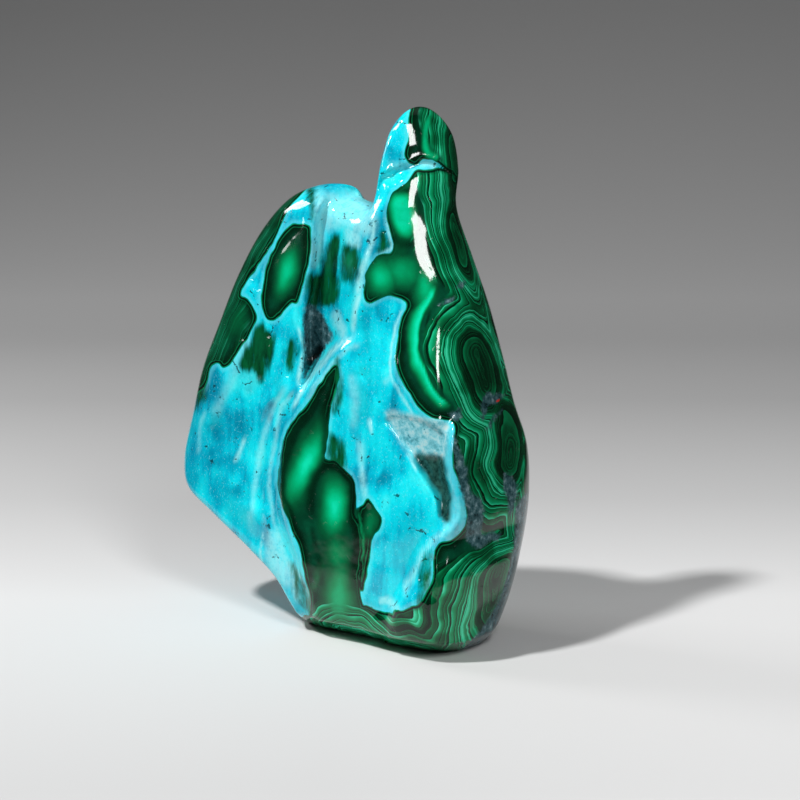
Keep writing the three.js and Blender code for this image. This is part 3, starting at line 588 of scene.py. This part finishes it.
    # pale chrysocolla, with painted light on the flat of the bevel and a painted glint in the groove: routes
    # with half width and strength, and soft patches
    veins=[
        ([(-10, 55.5), (-14, 49), (-16.3, 41.5), (-17.7, 35), (-18.3, 29.3), (-19, 24.5)], 0.6, 0.5),
        ([(-8.7, 54.5), (-12, 49.5), (-13.6, 42), (-14.3, 34.3), (-14.2, 27.7), (-12.8, 21)], 0.45, 0.55),
        ([(5, 67.9), (1.5, 66.1), (-1, 62.9), (-4, 58.7), (-7.4, 53.8), (-9.8, 49.8)], 0.4, 0.95),
        ([(6, 66.4), (3, 65.2), (0, 61.6), (-3, 57.4), (-6, 52.8)], 0.5, 0.5),
        ([(-8.4, 69), (-7.2, 65.8), (-6.9, 62), (-7.2, 58.2), (-7.4, 55.3)], 0.4, 1),
        ([(9, 95.5), (8.6, 90), (7.9, 85.8), (6.8, 81.7), (5.7, 78.3), (5.1, 72.8), (4.7, 68)], 0.6, 0.95),
        ([(15.6, 74.6), (14, 71.2), (13.1, 66.5), (12.9, 60.5), (14.3, 57.3), (16.1, 54.3),
          (18, 51.8)], 0.28, 0.9),
        ([(-20.3, 42.5), (-21.6, 39.2), (-22.8, 36.5)], 0.4, 0.8),
        ([(-19.4, 65), (-22, 59), (-25, 52), (-28, 46)], 1.1, 0.35),
        ([(12, 94), (11.9, 90), (12.6, 87.3), (11.4, 86.4), (9.8, 85.9)], 0.3, 0.8),
        ([(6.3, 46), (6.6, 39), (6.9, 33)], 0.8, 0.6), ([(4.4, 60), (4.9, 54), (4.6, 48)], 1, 0.4),
        ([(16.5, 44), (18.6, 40.4)], 0.3, 1), ([(8.3, 50.2), (8.4, 47.6)], 0.4, 1),
        ([(10, 11.4), (12, 12), (14.4, 11)], 0.8, 1),
        ([(-16.6, 22), (-16.9, 17), (-15, 13), (-12, 11)], 0.35, 0.8),
        ([(-13.4, 24), (-11.5, 18.5), (-9.4, 13), (-7.8, 7)], 0.9, 0.75),
        ([(-9.9, 16), (-7.2, 12.6), (-4.9, 8), (-3, 3.8)], 0.35, 1),
        ([(25.2, 51.4), (24.9, 48), (24.8, 44), (25.4, 39.6), (26.4, 36)], 0.9, 0.25),
        # pale chrysocolla on the flat of the bevel, painted lighter as a facet catching the light
        ([(26.6, 36.4), (26.8, 33.4), (26.4, 30.6)], 1.7, 0.3),
        ([(25, 29.2), (21.8, 26.6), (19.4, 23.6), (17.4, 18.6), (15.6, 14)], 0.5, 0.75),
        ([(20.8, 20), (20.6, 17.4), (21.2, 14.6)], 0.45, 0.8), ([(10, 84), (8.4, 82), (6.9, 79)], 0.3, 0.8),
        ([(12, 104.2), (15, 104.8), (17.6, 105)], 0.8, 0.4),
        ([(19, 105.4), (20.6, 105.2), (22.6, 104)], 0.6, 1), ([(10.8, 58.6), (13, 60.4)], 0.6, 0.4),
        ([(-30, 47), (-31.6, 42), (-31.8, 37)], 0.5, 0.35),
    ],
    veinsBack=[
        ([(-3, 94), (-9, 82), (-12, 68), (-14, 56), (-20, 50), (-28, 52), (-34, 46)], 0.6, 0.85),
        ([(8, 90), (9, 76), (7, 64), (3, 54), (-2, 45), (-4, 38), (-8, 30), (-10, 20)], 0.7, 0.8),
        ([(13, 72), (12, 62), (10, 54), (9, 44), (10, 34), (12, 24), (8, 14)], 0.45, 0.7),
        ([(-18, 68), (-24, 58), (-33, 44), (-38, 34)], 0.5, 0.6),
        ([(-33, 28), (-24, 26), (-14, 20), (-8, 14)], 0.9, 0.6),
    ],
    palePatches=[
        # the first is the flat of the bevel: pale chrysocolla painted lighter still as a flat facet catching
        # the light
        ([(24.8, 35), (28.3, 34.2), (28.1, 29.5), (26.2, 26.8), (23.8, 28), (24.2, 31)], 0.5, 0.4),
        ([(-4, 97.5), (-1, 98), (4, 98), (9, 96.5), (9, 91), (6, 89.6), (2, 90.6), (-2, 90),
          (-4.4, 92)], 3, 0.75),
        ([(-4.2, 92), (-2.6, 91), (-2, 87), (-3, 82.6), (-4.4, 82.4), (-4.6, 87)], 1.6, 0.7),
        ([(0, 71), (1.5, 72.4), (3, 69), (1.6, 66.6)], 1.6, 0.7),
        # painted highlight: the soft glint at the top of the groove, over paler chrysocolla there
        ([(2.4, 90.5), (5.4, 90), (5.6, 86.6), (3, 87)], 1.5, 0.8),
        ([(-15, 22), (-12.4, 21), (-9.4, 12), (-12, 11), (-15, 15)], 2.5, 0.7),
    ],
    deepPatches=[
        ([(-34, 38), (-27, 33), (-19, 26.5), (-15, 20), (-21, 21), (-30, 29)], 3, 0.5),
        ([(-29, 49), (-26, 50), (-25.4, 44), (-26.6, 40), (-28.6, 42)], 3, 0.8),
        ([(-38, 51), (-33, 52), (-28, 44), (-27, 36), (-30, 29), (-40, 30)], 8, 0.5),
        ([(-29, 57), (-26.4, 56), (-25.6, 51), (-28, 49), (-30, 52)], 2.6, 0.9),
        ([(-27, 30.4), (-22, 30.6), (-20.4, 28.4), (-24, 27.4)], 2.6, 0.7),
        ([(-34, 44), (-31.6, 40), (-31, 34), (-35, 34)], 3, 0.7),
        ([(-36, 36), (-32.4, 36), (-31.6, 30), (-36, 28)], 3, 0.8),
        ([(11, 104), (14, 105), (13.4, 109), (11, 109)], 3, 0.5),
        ([(7, 75), (9, 75), (8.6, 66), (7, 66)], 2, 0.5), ([(15, 30), (19, 31), (18, 22), (14, 18)], 4, 0.4),
        ([(5, 57), (8, 58), (8.4, 50), (5.6, 49)], 2.4, 0.4),
        ([(-5, 97), (-3, 99.6), (1.6, 100), (1, 97.6)], 2, 0.4),
        ([(-14, 55), (-12.4, 57), (-10.6, 54.6), (-12, 52)], 2, 0.5),
        ([(2.8, 38), (5.6, 40), (7, 36), (6, 31.4)], 1.6, 0.35),
    ],
    # grey-cyan floor of the pocket, and its dark lower half
    pocketFloor=[
        ([(12, 52.4), (17.6, 52.6), (24.6, 51), (24.6, 46), (24, 42.6), (18.6, 42.8), (15.4, 46),
          (12.4, 49.6)], 1.4, 1),
    ],
    pocketDark=[
        ([(17.8, 43.4), (21, 44.2), (24.4, 43.4), (24.8, 39), (25.6, 36), (25.4, 31), (23.2, 31.4),
          (22.9, 35.4), (20.4, 39.4)], 1.4, 1),
    ],
    fleck=(36.2, 54.1, 0.5, 0.28, 5, 1),  # one red speck of cuprite
    seenFade=(-0.45, 0.02),  # the display side's minerals give way to the back's over this facing
    wobble=((0.3, 7), (0.08, 2.6)),  # how far edges stray from these outlines, and over what length
    bandDrift=(0.5, 9),  # the same for the bands
)


def ovals(a, b, spots, sharpness=0.75):
    # the largest of bells of the elliptical distance from each spot's centre
    total = np.zeros(len(a))
    for ca, cb, wide, tall, tilt, strength in spots:
        t = math.radians(tilt)
        da, db = a - ca, b - cb
        across = (da * math.cos(t) + db * math.sin(t)) / wide
        along = (db * math.cos(t) - da * math.sin(t)) / tall
        total = np.maximum(total, strength * np.exp(-sharpness * (across**2 + along**2)))
    return total


def patches(a, b, areas, steps=5):
    # the largest of smooth steps of the depth inside each outline
    total = np.zeros(len(a))
    for outline, soft, strength in areas:
        depth = depthInside(a, b, closedCurve(outline, steps))
        total = np.maximum(total, strength * step(depth, -soft / 2, soft / 2))
    return total


def strokes(a, b, routes, steps=6, flatness=2.4):
    # the largest of flat-topped bells of the distance from each route, tapered at its ends; a pair of
    # widths is for its left and right side
    total = np.zeros(len(a))
    for route, wide, strength in routes:
        gap, walked = lineGap(a, b, openCurve(route, steps))
        left, right = wide if isinstance(wide, tuple) else (wide, wide)
        across = abs(gap / np.where(gap > 0, left, right))
        taper = step(walked, -0.02, 0.1) * (1 - step(walked, 0.9, 1.02))
        total = np.maximum(total, strength * np.exp(-across**flatness) * taper)
    return total


def deepest(a, b, outlines, steps=6):
    # signed distance inside the union of the outlines
    return np.max([depthInside(a, b, closedCurve(outline, steps)) for outline in outlines], axis=0)


def growth(points, cores, blend=0.25):
    # smallest distance from any core line, stretched along the axes, rounded where two cores meet
    total = np.zeros(len(points))
    for a, b, stretch, start in cores:
        a, b, stretch = np.array([a, b, stretch], float)
        line = (b - a) / stretch
        away = (points - a) / stretch
        f = np.clip(away @ line / (line @ line), 0, 1)
        total += np.exp(-(np.linalg.norm(away - f[:, None] * line, axis=1) + start) / blend)
    return -blend * np.log(np.maximum(total, 1e-250))  # never the log of nothing


def mineralFields(p):
    # each field is worked out on the display side and on the back, and changes over round the edges
    seen = step(facing, *p["seenFade"])
    (far, length), (little, short) = p["wobble"]
    aside, up = (far * ripple(base, length, seed) + little * ripple(base, short, seed + 1) for seed in (1, 3))
    display = (u + aside, z + up)
    behind = (x + 2 * aside, z + 2 * up)
    front = seen > 0
    back = seen < 1

    def both(work, shown, hidden=None, empty=0.0):
        # the work done from both sides and shared by how far each is seen; empty is its value for nothing
        total = np.full(len(x), empty)
        total[front] = work(*(a[front] for a in display), shown) * seen[front] + empty * (1 - seen[front])
        if hidden:
            total[back] += (1 - seen[back]) * (work(*(a[back] for a in behind), hidden) - empty)
        return total

    glow = both(ovals, p["hearts"], p["heartsBack"])
    glow = np.maximum(glow, both(patches, p["heartPatches"]))
    glow = np.maximum(glow, both(strokes, p["heartStrokes"]))
    far, length = p["bandDrift"]
    drift = far * np.stack([ripple(base, length, seed) for seed in (11, 12, 13)], 1)
    return dict(
        deposit=both(deepest, p["malachite"], p["malachiteBack"], -20.0),
        matrix=both(deepest, p["matrix"], p["matrixBack"], -20.0),
        growth=growth(base + drift, p["cores"]),
        banding=both(patches, p["banded"], p["bandedBack"]),
        glow=glow,
        shade=both(strokes, p["shades"]),
        pale=np.maximum(both(strokes, p["veins"], p["veinsBack"]), both(patches, p["palePatches"])),
        murk=both(patches, p["murk"], p["murkBack"]),
        deep=both(patches, p["deepPatches"]),
        pocket=both(patches, p["pocketFloor"]),
        pocketDark=both(patches, p["pocketDark"]),
        fleck=both(ovals, [p["fleck"]]),
    )


fields = mineralFields(pattern)
print("mineral fields:", ", ".join(fields))


def linked(name, data):
    # a new object holding the data, in the scene
    made = bpy.data.objects.new(name, data)
    bpy.context.scene.collection.objects.link(made)
    return made


def smoothMesh(name, points, faces, layers):
    # an object of smooth faces, points in metres, with one number per point in each named layer
    mesh = bpy.data.meshes.new(name)
    mesh.from_pydata(points.tolist(), [], faces.tolist())
    mesh.polygons.foreach_set("use_smooth", np.ones(len(mesh.polygons), bool))
    for layer, values in layers.items():
        mesh.attributes.new(layer, "FLOAT", "POINT").data.foreach_set("value", values.astype(np.float32))
    mesh.update()
    return linked(name, mesh)


low, high = (np.array(corner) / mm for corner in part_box("specimen"))
shift = (low + high) / 2 - (shape.min(0) + shape.max(0)) / 2
shift[2] = 0  # both stand on the floor
specimen = smoothMesh("specimen_fine", (shape + shift) * mm, faces, fields)
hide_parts("specimen")
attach(specimen, "root")
print("stone placed, moved by", shift.round(2), "mm")


def toLinear(colour):
    # "#rrggbb" in sRGB to linear red, green, blue and full alpha
    parts = [int(colour[i:i + 2], 16) / 255 for i in (1, 3, 5)]
    return tuple(c / 12.92 if c <= 0.04045 else ((c + 0.055) / 1.055)**2.4 for c in parts) + (1.0,)


def addNode(tree, kind, output=None, sockets=None, stops=None, **settings):
    # one node with its settings; each socket gets a link, a hex colour or a plain value
    made = tree.nodes.new("ShaderNode" + kind)
    for name, value in settings.items():
        setattr(made, name, value)
    if stops:
        ramp = made.color_ramp.elements
        while len(ramp) < len(stops):
            ramp.new(1.0)
        for element, (place, colour) in zip(ramp, stops):
            element.position = place
            element.color = toLinear(colour) if isinstance(colour, str) else (colour, colour, colour, 1.0)
    for socket, value in (sockets or {}).items():
        if isinstance(value, bpy.types.NodeSocket):
            tree.links.new(value, made.inputs[socket])
        elif isinstance(value, str):
            made.inputs[socket].default_value = toLinear(value)
        else:
            made.inputs[socket].default_value = value
    return None if output is None else made.outputs[output]


looks = dict(  # sizes in millimetres, but for the last
    bandWidth=1.25,  # a common malachite band
    fineBand=0.42,  # the hairline bands between them
    sway=6.0, quiver=1.1,  # slow and quick wander of the bands
    bandTone=9.0,  # lighter and darker stretches of banding
    fray=2.0,  # how coarse the ragged edge of a deposit is
    heartEdge=1.6, mottle=2.6,  # edge of a bright heart, and the dark green round it
    fibre=0.35,  # across one malachite fibre; finer in nature, drawn as coarse as it shows
    cloud=10.0,  # clouds in the chrysocolla
    haze=14.0,  # its deeper patches
    streak=2.2,  # its upright streaks, across
    grain=0.8, dust=0.5,  # fine dark and pale grain in it
    milk=1.1,  # breaks in the pale veins
    crack=7.0, crackGap=2.4,  # between crack marks, and their breaks
    pit=1.4, pitGap=4.0,  # between pits, and the bare stretches
    bend=2.2,  # how far both are bent, and how finely
    torn=1.6, sunk=1.8,  # malachite under the chrysocolla: its torn edge and its mottling
    crust=1.5, gloom=1.2,  # floor of the pocket, and its dark half
    ragged=1.2, grit=1.6,  # edge of the matrix, and its speckle
    ripple=6.0, rough=0.5, gloss=2.0,  # polish: slow ripples, rough matrix, and where the gloss changes
    ior=1.48,  # chrysocolla; malachite is 1.65 to 1.9, under the same polish
)


def polishedStone(k):
    # chrysocolla (hydrated copper silicate, cyan, waxy clouds) intergrown with malachite (copper
    # carbonate, banded green), ground and polished to a glassy gloss
    material = bpy.data.materials.new("polished_chrysocolla_malachite")
    material.use_nodes = True
    tree = material.node_tree
    tree.nodes.clear()
    place = addNode(tree, "TexCoord", "Object")
    perMetre = 1 / mm

    def field(name):
        return addNode(tree, "Attribute", "Fac", attribute_name=name)

    def calc(operation, a, b=0.0, c=0.0, clamp=False):
        return addNode(tree, "Math", 0, {0: a, 1: b, 2: c}, operation=operation, use_clamp=clamp)

    def times(a, b, clamp=False):
        return calc("MULTIPLY", a, b, clamp=clamp)

    def plus(a, b, clamp=False):
        return calc("ADD", a, b, clamp=clamp)

    def around(value, reach):
        # a value from 0 to 1 moved to either side of 0, half the reach each way
        return calc("MULTIPLY_ADD", value, reach, -reach / 2)

    def noise(size, detail=3.0, rough=0.55, warp=0.0, vector=place, output="Fac"):
        # size by its name
        return addNode(tree, "TexNoise", output, {
            "Vector": vector, "Scale": perMetre / k[size], "Detail": detail, "Roughness": rough,
            "Distortion": warp,
        })

    def ease(value, low, high, start=0.0, end=1.0):
        # start at low, end at high, with a smooth rise or fall between
        return addNode(tree, "MapRange", "Result", {
            "Value": value, "From Min": low, "From Max": high, "To Min": start, "To Max": end,
        }, interpolation_type="SMOOTHSTEP")

    def ramp(value, stops):
        return addNode(tree, "ValToRGB", "Color", {"Fac": value}, stops)

    def mix(share, a, b, way="MIX"):
        return addNode(tree, "Mix", 2, {0: share, 6: a, 7: b}, data_type="RGBA", blend_type=way)

    edge = plus(field("deposit"), around(noise("fray", 3, 0.5), 0.2))
    glow = plus(field("glow"), around(noise("heartEdge"), 0.1))
    growthMm = field("growth")
    banding = field("banding")

    # malachite: hairlines at its edge, then dark green with bright hearts, or bands
    rim = ramp(calc("DIVIDE", edge, 4.0, clamp=True), [
        (0.0, "#0e9c6c"), (0.04, "#0c8a5c"), (0.075, "#02170c"), (0.15, "#03210f"), (0.185, "#0a7c50"),
        (0.225, "#032412"), (0.34, "#032b19"), (0.6, "#044630"), (1.0, "#055238"),
    ])
    mottle = ramp(noise("mottle", 4, 0.6), [(0.35, 0.6), (0.62, 1.0)])
    body = mix(1.0, rim, mottle, "MULTIPLY")
    heart = ramp(glow, [
        (0.1, "#03351f"), (0.35, "#045c38"), (0.58, "#038855"), (0.78, "#02ae76"), (0.93, "#03ca96"),
        (1.0, "#10dcb0"),
    ])
    smooth = mix(ease(glow, 0.06, 0.34), body, heart)
    # dark rings and seams, and the painted shade along the crease
    smooth = mix(times(field("shade"), 0.9), smooth, "#01160b")

    def alongGrowth(width, wander):
        # place in the band, 0 to 1, and the band's own random number; the widths wander along the growth
        drift = addNode(tree, "TexNoise", "Fac", {
            "W": calc("DIVIDE", phase, width * 2.5), "Scale": 1.0, "Detail": 1.0,
        }, noise_dimensions="1D")
        count = plus(calc("DIVIDE", phase, width), times(drift, wander))
        own = addNode(tree, "TexWhiteNoise", "Value", {"W": calc("FLOOR", count)}, noise_dimensions="1D")
        return calc("FRACT", count), own

    sway = calc("MULTIPLY_ADD", noise("sway", 2), 1.3, times(noise("quiver", 2), 0.1))
    phase = plus(growthMm, sway)
    across, own = alongGrowth(k["bandWidth"], 2.0)
    swell = ramp(across, [(0.0, 0.05), (0.06, 0.5), (0.6, 0.75), (0.9, 1.0), (0.95, 0.2), (1.0, 0.05)])
    level = times(swell, ease(own, 0.1, 0.85, 0.22, 0.88))
    across, own = alongGrowth(k["fineBand"], 1.0)
    hair = ramp(across, [(0.0, 0.0), (0.55, 0.0), (0.78, 1.0), (0.94, 0.0)])
    level = plus(level, around(own, 0.3))
    level = plus(level, times(hair, ease(own, 0.6, 0.85, 0.0, 0.5)))
    level = times(level, ease(noise("bandTone", 2), 0.38, 0.56, 0.75, 1.3), clamp=True)
    level = times(level, ease(growthMm, 0.5, 7.0, 0.35, 1.0))
    bands = ramp(level, [
        (0.0, "#01130a"), (0.16, "#02301a"), (0.38, "#045c36"), (0.6, "#088856"), (0.82, "#14b27f"),
        (1.0, "#46d8ad"),
    ])
    shown = times(banding, ease(edge, 0.3, 1.2))
    malachite = mix(shown, smooth, bands)
    malachite = mix(times(ease(glow, 0.3, 0.8), shown), malachite, heart)
    fibres = noise("fibre", 2, 0.6, 0.6)
    malachite = mix(0.2, malachite, ramp(fibres, [(0.3, "#052418"), (0.7, "#12a072")]), "SOFT_LIGHT")

    # chrysocolla: cyan clouds with upright streaks, deep patches, pale veins and crack marks
    upright = addNode(tree, "Mapping", "Vector", {"Vector": place, "Scale": (1.0, 1.0, 0.22)})
    clouds = plus(times(noise("cloud", 2, 0.5, 0.3), 0.7),
                  times(noise("streak", 3, 0.6, 0.0, upright), 0.3))
    cyan = ramp(clouds, [
        (0.36, "#028da8"), (0.43, "#02b2cc"), (0.5, "#06d2e4"), (0.58, "#12e2ee"), (0.68, "#3aecf2"),
    ])
    haze = ease(noise("haze"), 0.58, 0.74, 0.0, 0.5)
    cyan = mix(plus(times(field("deep"), 0.8), haze, clamp=True), cyan, "#007d9c")
    cyan = mix(ease(noise("dust", 2, 0.7), 0.56, 0.78, 0.0, 0.38), cyan, "#8ceef4")
    cyan = mix(1.0, cyan, ramp(noise("grain", 4, 0.7), [(0.34, 0.88), (0.56, 1.0)]), "MULTIPLY")
    # pale veins and patches, with the painted light on the bevel's flat and the painted glint in the groove
    milk = times(field("pale"), ease(noise("milk", 4, 0.65), 0.25, 0.6, 0.45, 1.0))
    cyan = mix(times(milk, 0.8), cyan, "#a6f0f1")
    shore = times(ease(edge, -1.1, -0.25), ease(edge, -0.15, 0.0, 1.0, 0.0))
    cyan = mix(times(shore, 0.25), cyan, "#7fe4ec")

    # crack marks are cell edges and pits are cell centres, with the place bent by a coloured noise
    bentBy = {0: noise("bend", 4.0, 0.7, output="Color"), "Scale": k["bend"] * mm}
    bentBy = addNode(tree, "VectorMath", "Vector", bentBy, operation="SCALE")
    bent = addNode(tree, "VectorMath", "Vector", {0: place, 1: bentBy}, operation="ADD")

    def cells(size, feature):
        sockets = {"Vector": bent, "Scale": perMetre / k[size]}
        return addNode(tree, "TexVoronoi", "Distance", sockets, feature=feature)

    web = cells("crack", "DISTANCE_TO_EDGE")
    crackLine = times(ease(web, 0.012, 0.04, 1.0, 0.0), ease(noise("crackGap"), 0.59, 0.65))
    pits = cells("pit", "F1")
    pitDots = times(ease(pits, 0.1, 0.2, 1.0, 0.0), ease(noise("pitGap"), 0.56, 0.66))
    marks = calc("MAXIMUM", crackLine, pitDots)
    cyan = mix(times(marks, 0.85), cyan, "#0a3338")

    # malachite sunk just under the chrysocolla, torn along the streaks
    torn = around(noise("torn", 4, 0.65, 0.0, upright), 1.3)
    sunk = ramp(noise("sunk", 4, 0.6, 0.3, upright), [(0.35, "#02301a"), (0.6, "#045a32")])
    sunk = mix(ease(glow, 0.1, 0.5), sunk, heart)
    cyan = mix(ease(plus(field("murk"), torn), 0.1, 0.9), cyan, sunk)

    # pocket: dull grey-cyan crust over a dark lower half
    crust = ramp(noise("crust", 5, 0.65), [
        (0.32, "#3f98a4"), (0.47, "#72c8d4"), (0.6, "#a9dde2"), (0.7, "#c9d8d4"),
    ])
    gloom = ramp(noise("gloom", 4, 0.6), [(0.35, "#0c2a26"), (0.65, "#2c5a52")])
    bare = calc("SUBTRACT", 1.0, times(marks, 0.7))
    cyan = mix(times(field("pocket"), bare), cyan, crust)
    cyan = mix(field("pocketDark"), cyan, gloom)

    colour = mix(ease(edge, -0.07, 0.07), cyan, malachite)

    # matrix: grey and black tenorite and quartz, speckled
    ragged = around(noise("ragged", 4, 0.65), 2.0)
    rubble = ease(plus(field("matrix"), ragged), -0.3, 0.7)
    grit = ramp(noise("grit", 5, 0.7), [
        (0.34, "#0e2a2d"), (0.45, "#2c4f54"), (0.56, "#46696e"), (0.7, "#86a0a6"),
    ])
    # the shade field blackens the matrix too: painted shade in the mouth of the hollow
    grit = mix(field("shade"), grit, "#020807")
    colour = mix(rubble, colour, grit)
    colour = mix(ease(field("fleck"), 0.3, 0.6), colour, "#d2302c")

    # polish: slow ripples, dents at the marks and a rough matrix
    rough = times(rubble, times(noise("rough"), 0.25))
    relief = plus(noise("ripple", 2), calc("MULTIPLY_ADD", marks, -0.5, rough))
    bump = addNode(tree, "Bump", "Normal", {"Height": relief, "Strength": 0.5, "Distance": 0.15 * mm})
    gloss = plus(ease(noise("gloss", 4), 0.3, 0.8, 0.05, 0.09), times(rubble, 0.12))
    surface = {"Base Color": colour, "Roughness": gloss, "IOR": k["ior"], "Normal": bump}
    addNode(tree, "OutputMaterial", None, {"Surface": addNode(tree, "BsdfPrincipled", "BSDF", surface)})
    return material


specimen.data.materials.append(polishedStone(looks))
print("stone material made")


studio = dict(
    # paper sweep along the view in mm: from the front flat to the turn, up an arc and on along a slope
    front=-128, turn=500, radius=600, rise=50, slope=250,
    halfWidth=171, spread=0.28,  # to either side of the stone, and how fast it widens
    rows=(40, 24), columns=29,  # along the flat and the arc, and across
    # paper tone along it, painted light and shade for how the lamps fall off up the sweep: share of the
    # length, sRGB grey
    tones=[
        (0.009, "#d0d0d0"), (0.048, "#dadada"), (0.107, "#e7e7e7"), (0.192, "#d4d4d4"), (0.325, "#c9c9c9"),
        (0.517, "#d7d7d7"), (0.618, "#c7c7c7"), (0.696, "#bababa"), (0.763, "#aeaeae"),
    ],
    # how it dims to either side: painted shade where the light falls off
    edges=[(0.0, 0.0), (0.14, 0.84), (0.5, 0.87), (0.8, 1.0), (0.88, 1.0), (1.0, 0.0)],
    target=(18, 0, 52.5),  # mm, before the stone is centred
    azimuth=35, elevation=9, distance=493, lens=100,  # degrees round from -Y, degrees up, mm, mm
    aim=0.06,  # m, height the lights are aimed at
    # name, azimuth, elevation, distance in m, size in m, power in W
    lights=[
        ("key", -22, 55, 0.80, (0.06, 0.06), 6.1),
        ("front_softbox", 53, 31, 0.60, (0.12, 0.2), 1.8),
        ("left_softbox", -82, 31, 0.60, (0.2, 0.12), 0.95),
        ("left_low_softbox", -50, 10.5, 0.60, (0.03, 0.03), 0.03),
        ("overhead", 150, 84, 0.90, (0.70, 0.70), 0.3),
    ],
)


def sweep(s):
    # straight run on the floor, an arc up, then a straight slope, carried sideways
    rise = math.radians(s["rise"])
    flat = np.linspace(s["front"], s["turn"], s["rows"][0])
    arc = np.linspace(0, rise, s["rows"][1])[1:]
    run = np.append(flat, s["turn"] + s["radius"] * np.sin(arc))
    height = np.append(0 * flat, s["radius"] * (1 - np.cos(arc)))
    run = np.append(run, run[-1] + s["slope"] * math.cos(rise))
    height = np.append(height, height[-1] + s["slope"] * math.sin(rise))
    length = np.append(0, np.cumsum(np.hypot(np.diff(run), np.diff(height))))
    a = math.radians(s["azimuth"])
    columns, rows = s["columns"], len(run)
    side = np.linspace(-1, 1, columns)[:, None] * (s["halfWidth"] + s["spread"] * run)
    x = -math.sin(a) * run + math.cos(a) * side
    y = math.cos(a) * run + math.sin(a) * side
    points = np.stack([x, y, height + 0 * side], 2).reshape(-1, 3)
    corner = np.arange(columns * rows).reshape(columns, rows)
    cells = np.stack([corner[:-1, :-1], corner[1:, :-1], corner[1:, 1:], corner[:-1, 1:]], -1)
    share = np.tile(length / length[-1], columns)
    across = np.repeat(np.linspace(0, 1, columns), rows)
    return points * mm, cells.reshape(-1, 4), dict(share=share, across=across)


floor = smoothMesh("paper_sweep", *sweep(studio))
paper = bpy.data.materials.new("matt_paper")  # studio paper, no gloss, graded from white to grey as painted light and shade
paper.use_nodes = True
sheet = paper.node_tree
tones = []
for layer, stops in (("share", studio["tones"]), ("across", studio["edges"])):
    place = addNode(sheet, "Attribute", "Fac", attribute_name=layer)
    tones.append(addNode(sheet, "ValToRGB", "Color", {"Fac": place}, stops))
tones = {0: 1.0, 6: tones[0], 7: tones[1]}
tone = addNode(sheet, "Mix", 2, tones, data_type="RGBA", blend_type="MULTIPLY")
matt = sheet.nodes["Principled BSDF"].inputs
sheet.links.new(tone, matt["Base Color"])
matt["Roughness"].default_value = 1.0
matt["Specular IOR Level"].default_value = 0.0
floor.data.materials.append(paper)

world = bpy.data.worlds.new("dim_studio")
world.use_nodes = True
world.node_tree.nodes["Background"].inputs["Color"].default_value = toLinear("#2a2a2b")
bpy.context.scene.world = world


def standBack(name, data, target, azimuth, elevation, distance):
    # an object facing the target from that far off, at degrees round from -Y and degrees up
    a, e = math.radians(azimuth), math.radians(elevation)
    outward = Vector((math.sin(a) * math.cos(e), -math.cos(a) * math.cos(e), math.sin(e)))
    made = linked(name, data)
    made.location = Vector(target) + outward * distance
    made.rotation_mode = "QUATERNION"
    made.rotation_quaternion = outward.to_track_quat("Z", "Y")
    return made


for name, azimuth, elevation, distance, (wide, tall), power in studio["lights"]:
    lamp = bpy.data.lights.new(name, "AREA")
    lamp.shape = "RECTANGLE"
    lamp.size = wide
    lamp.size_y = tall
    lamp.energy = power
    light = standBack(name, lamp, (0, 0, studio["aim"]), azimuth, elevation, distance)
    light.visible_camera = False

lens = bpy.data.cameras.new("camera")
lens.lens = studio["lens"]
lens.sensor_width = 36
lens.clip_start = 0.01
lens.clip_end = 20
target = (np.array(studio["target"]) + shift) * mm
camera = standBack("camera", lens, target, studio["azimuth"], studio["elevation"], studio["distance"] * mm)
bpy.context.scene.camera = camera
bpy.context.scene.view_settings.view_transform = "Standard"
print("studio ready")
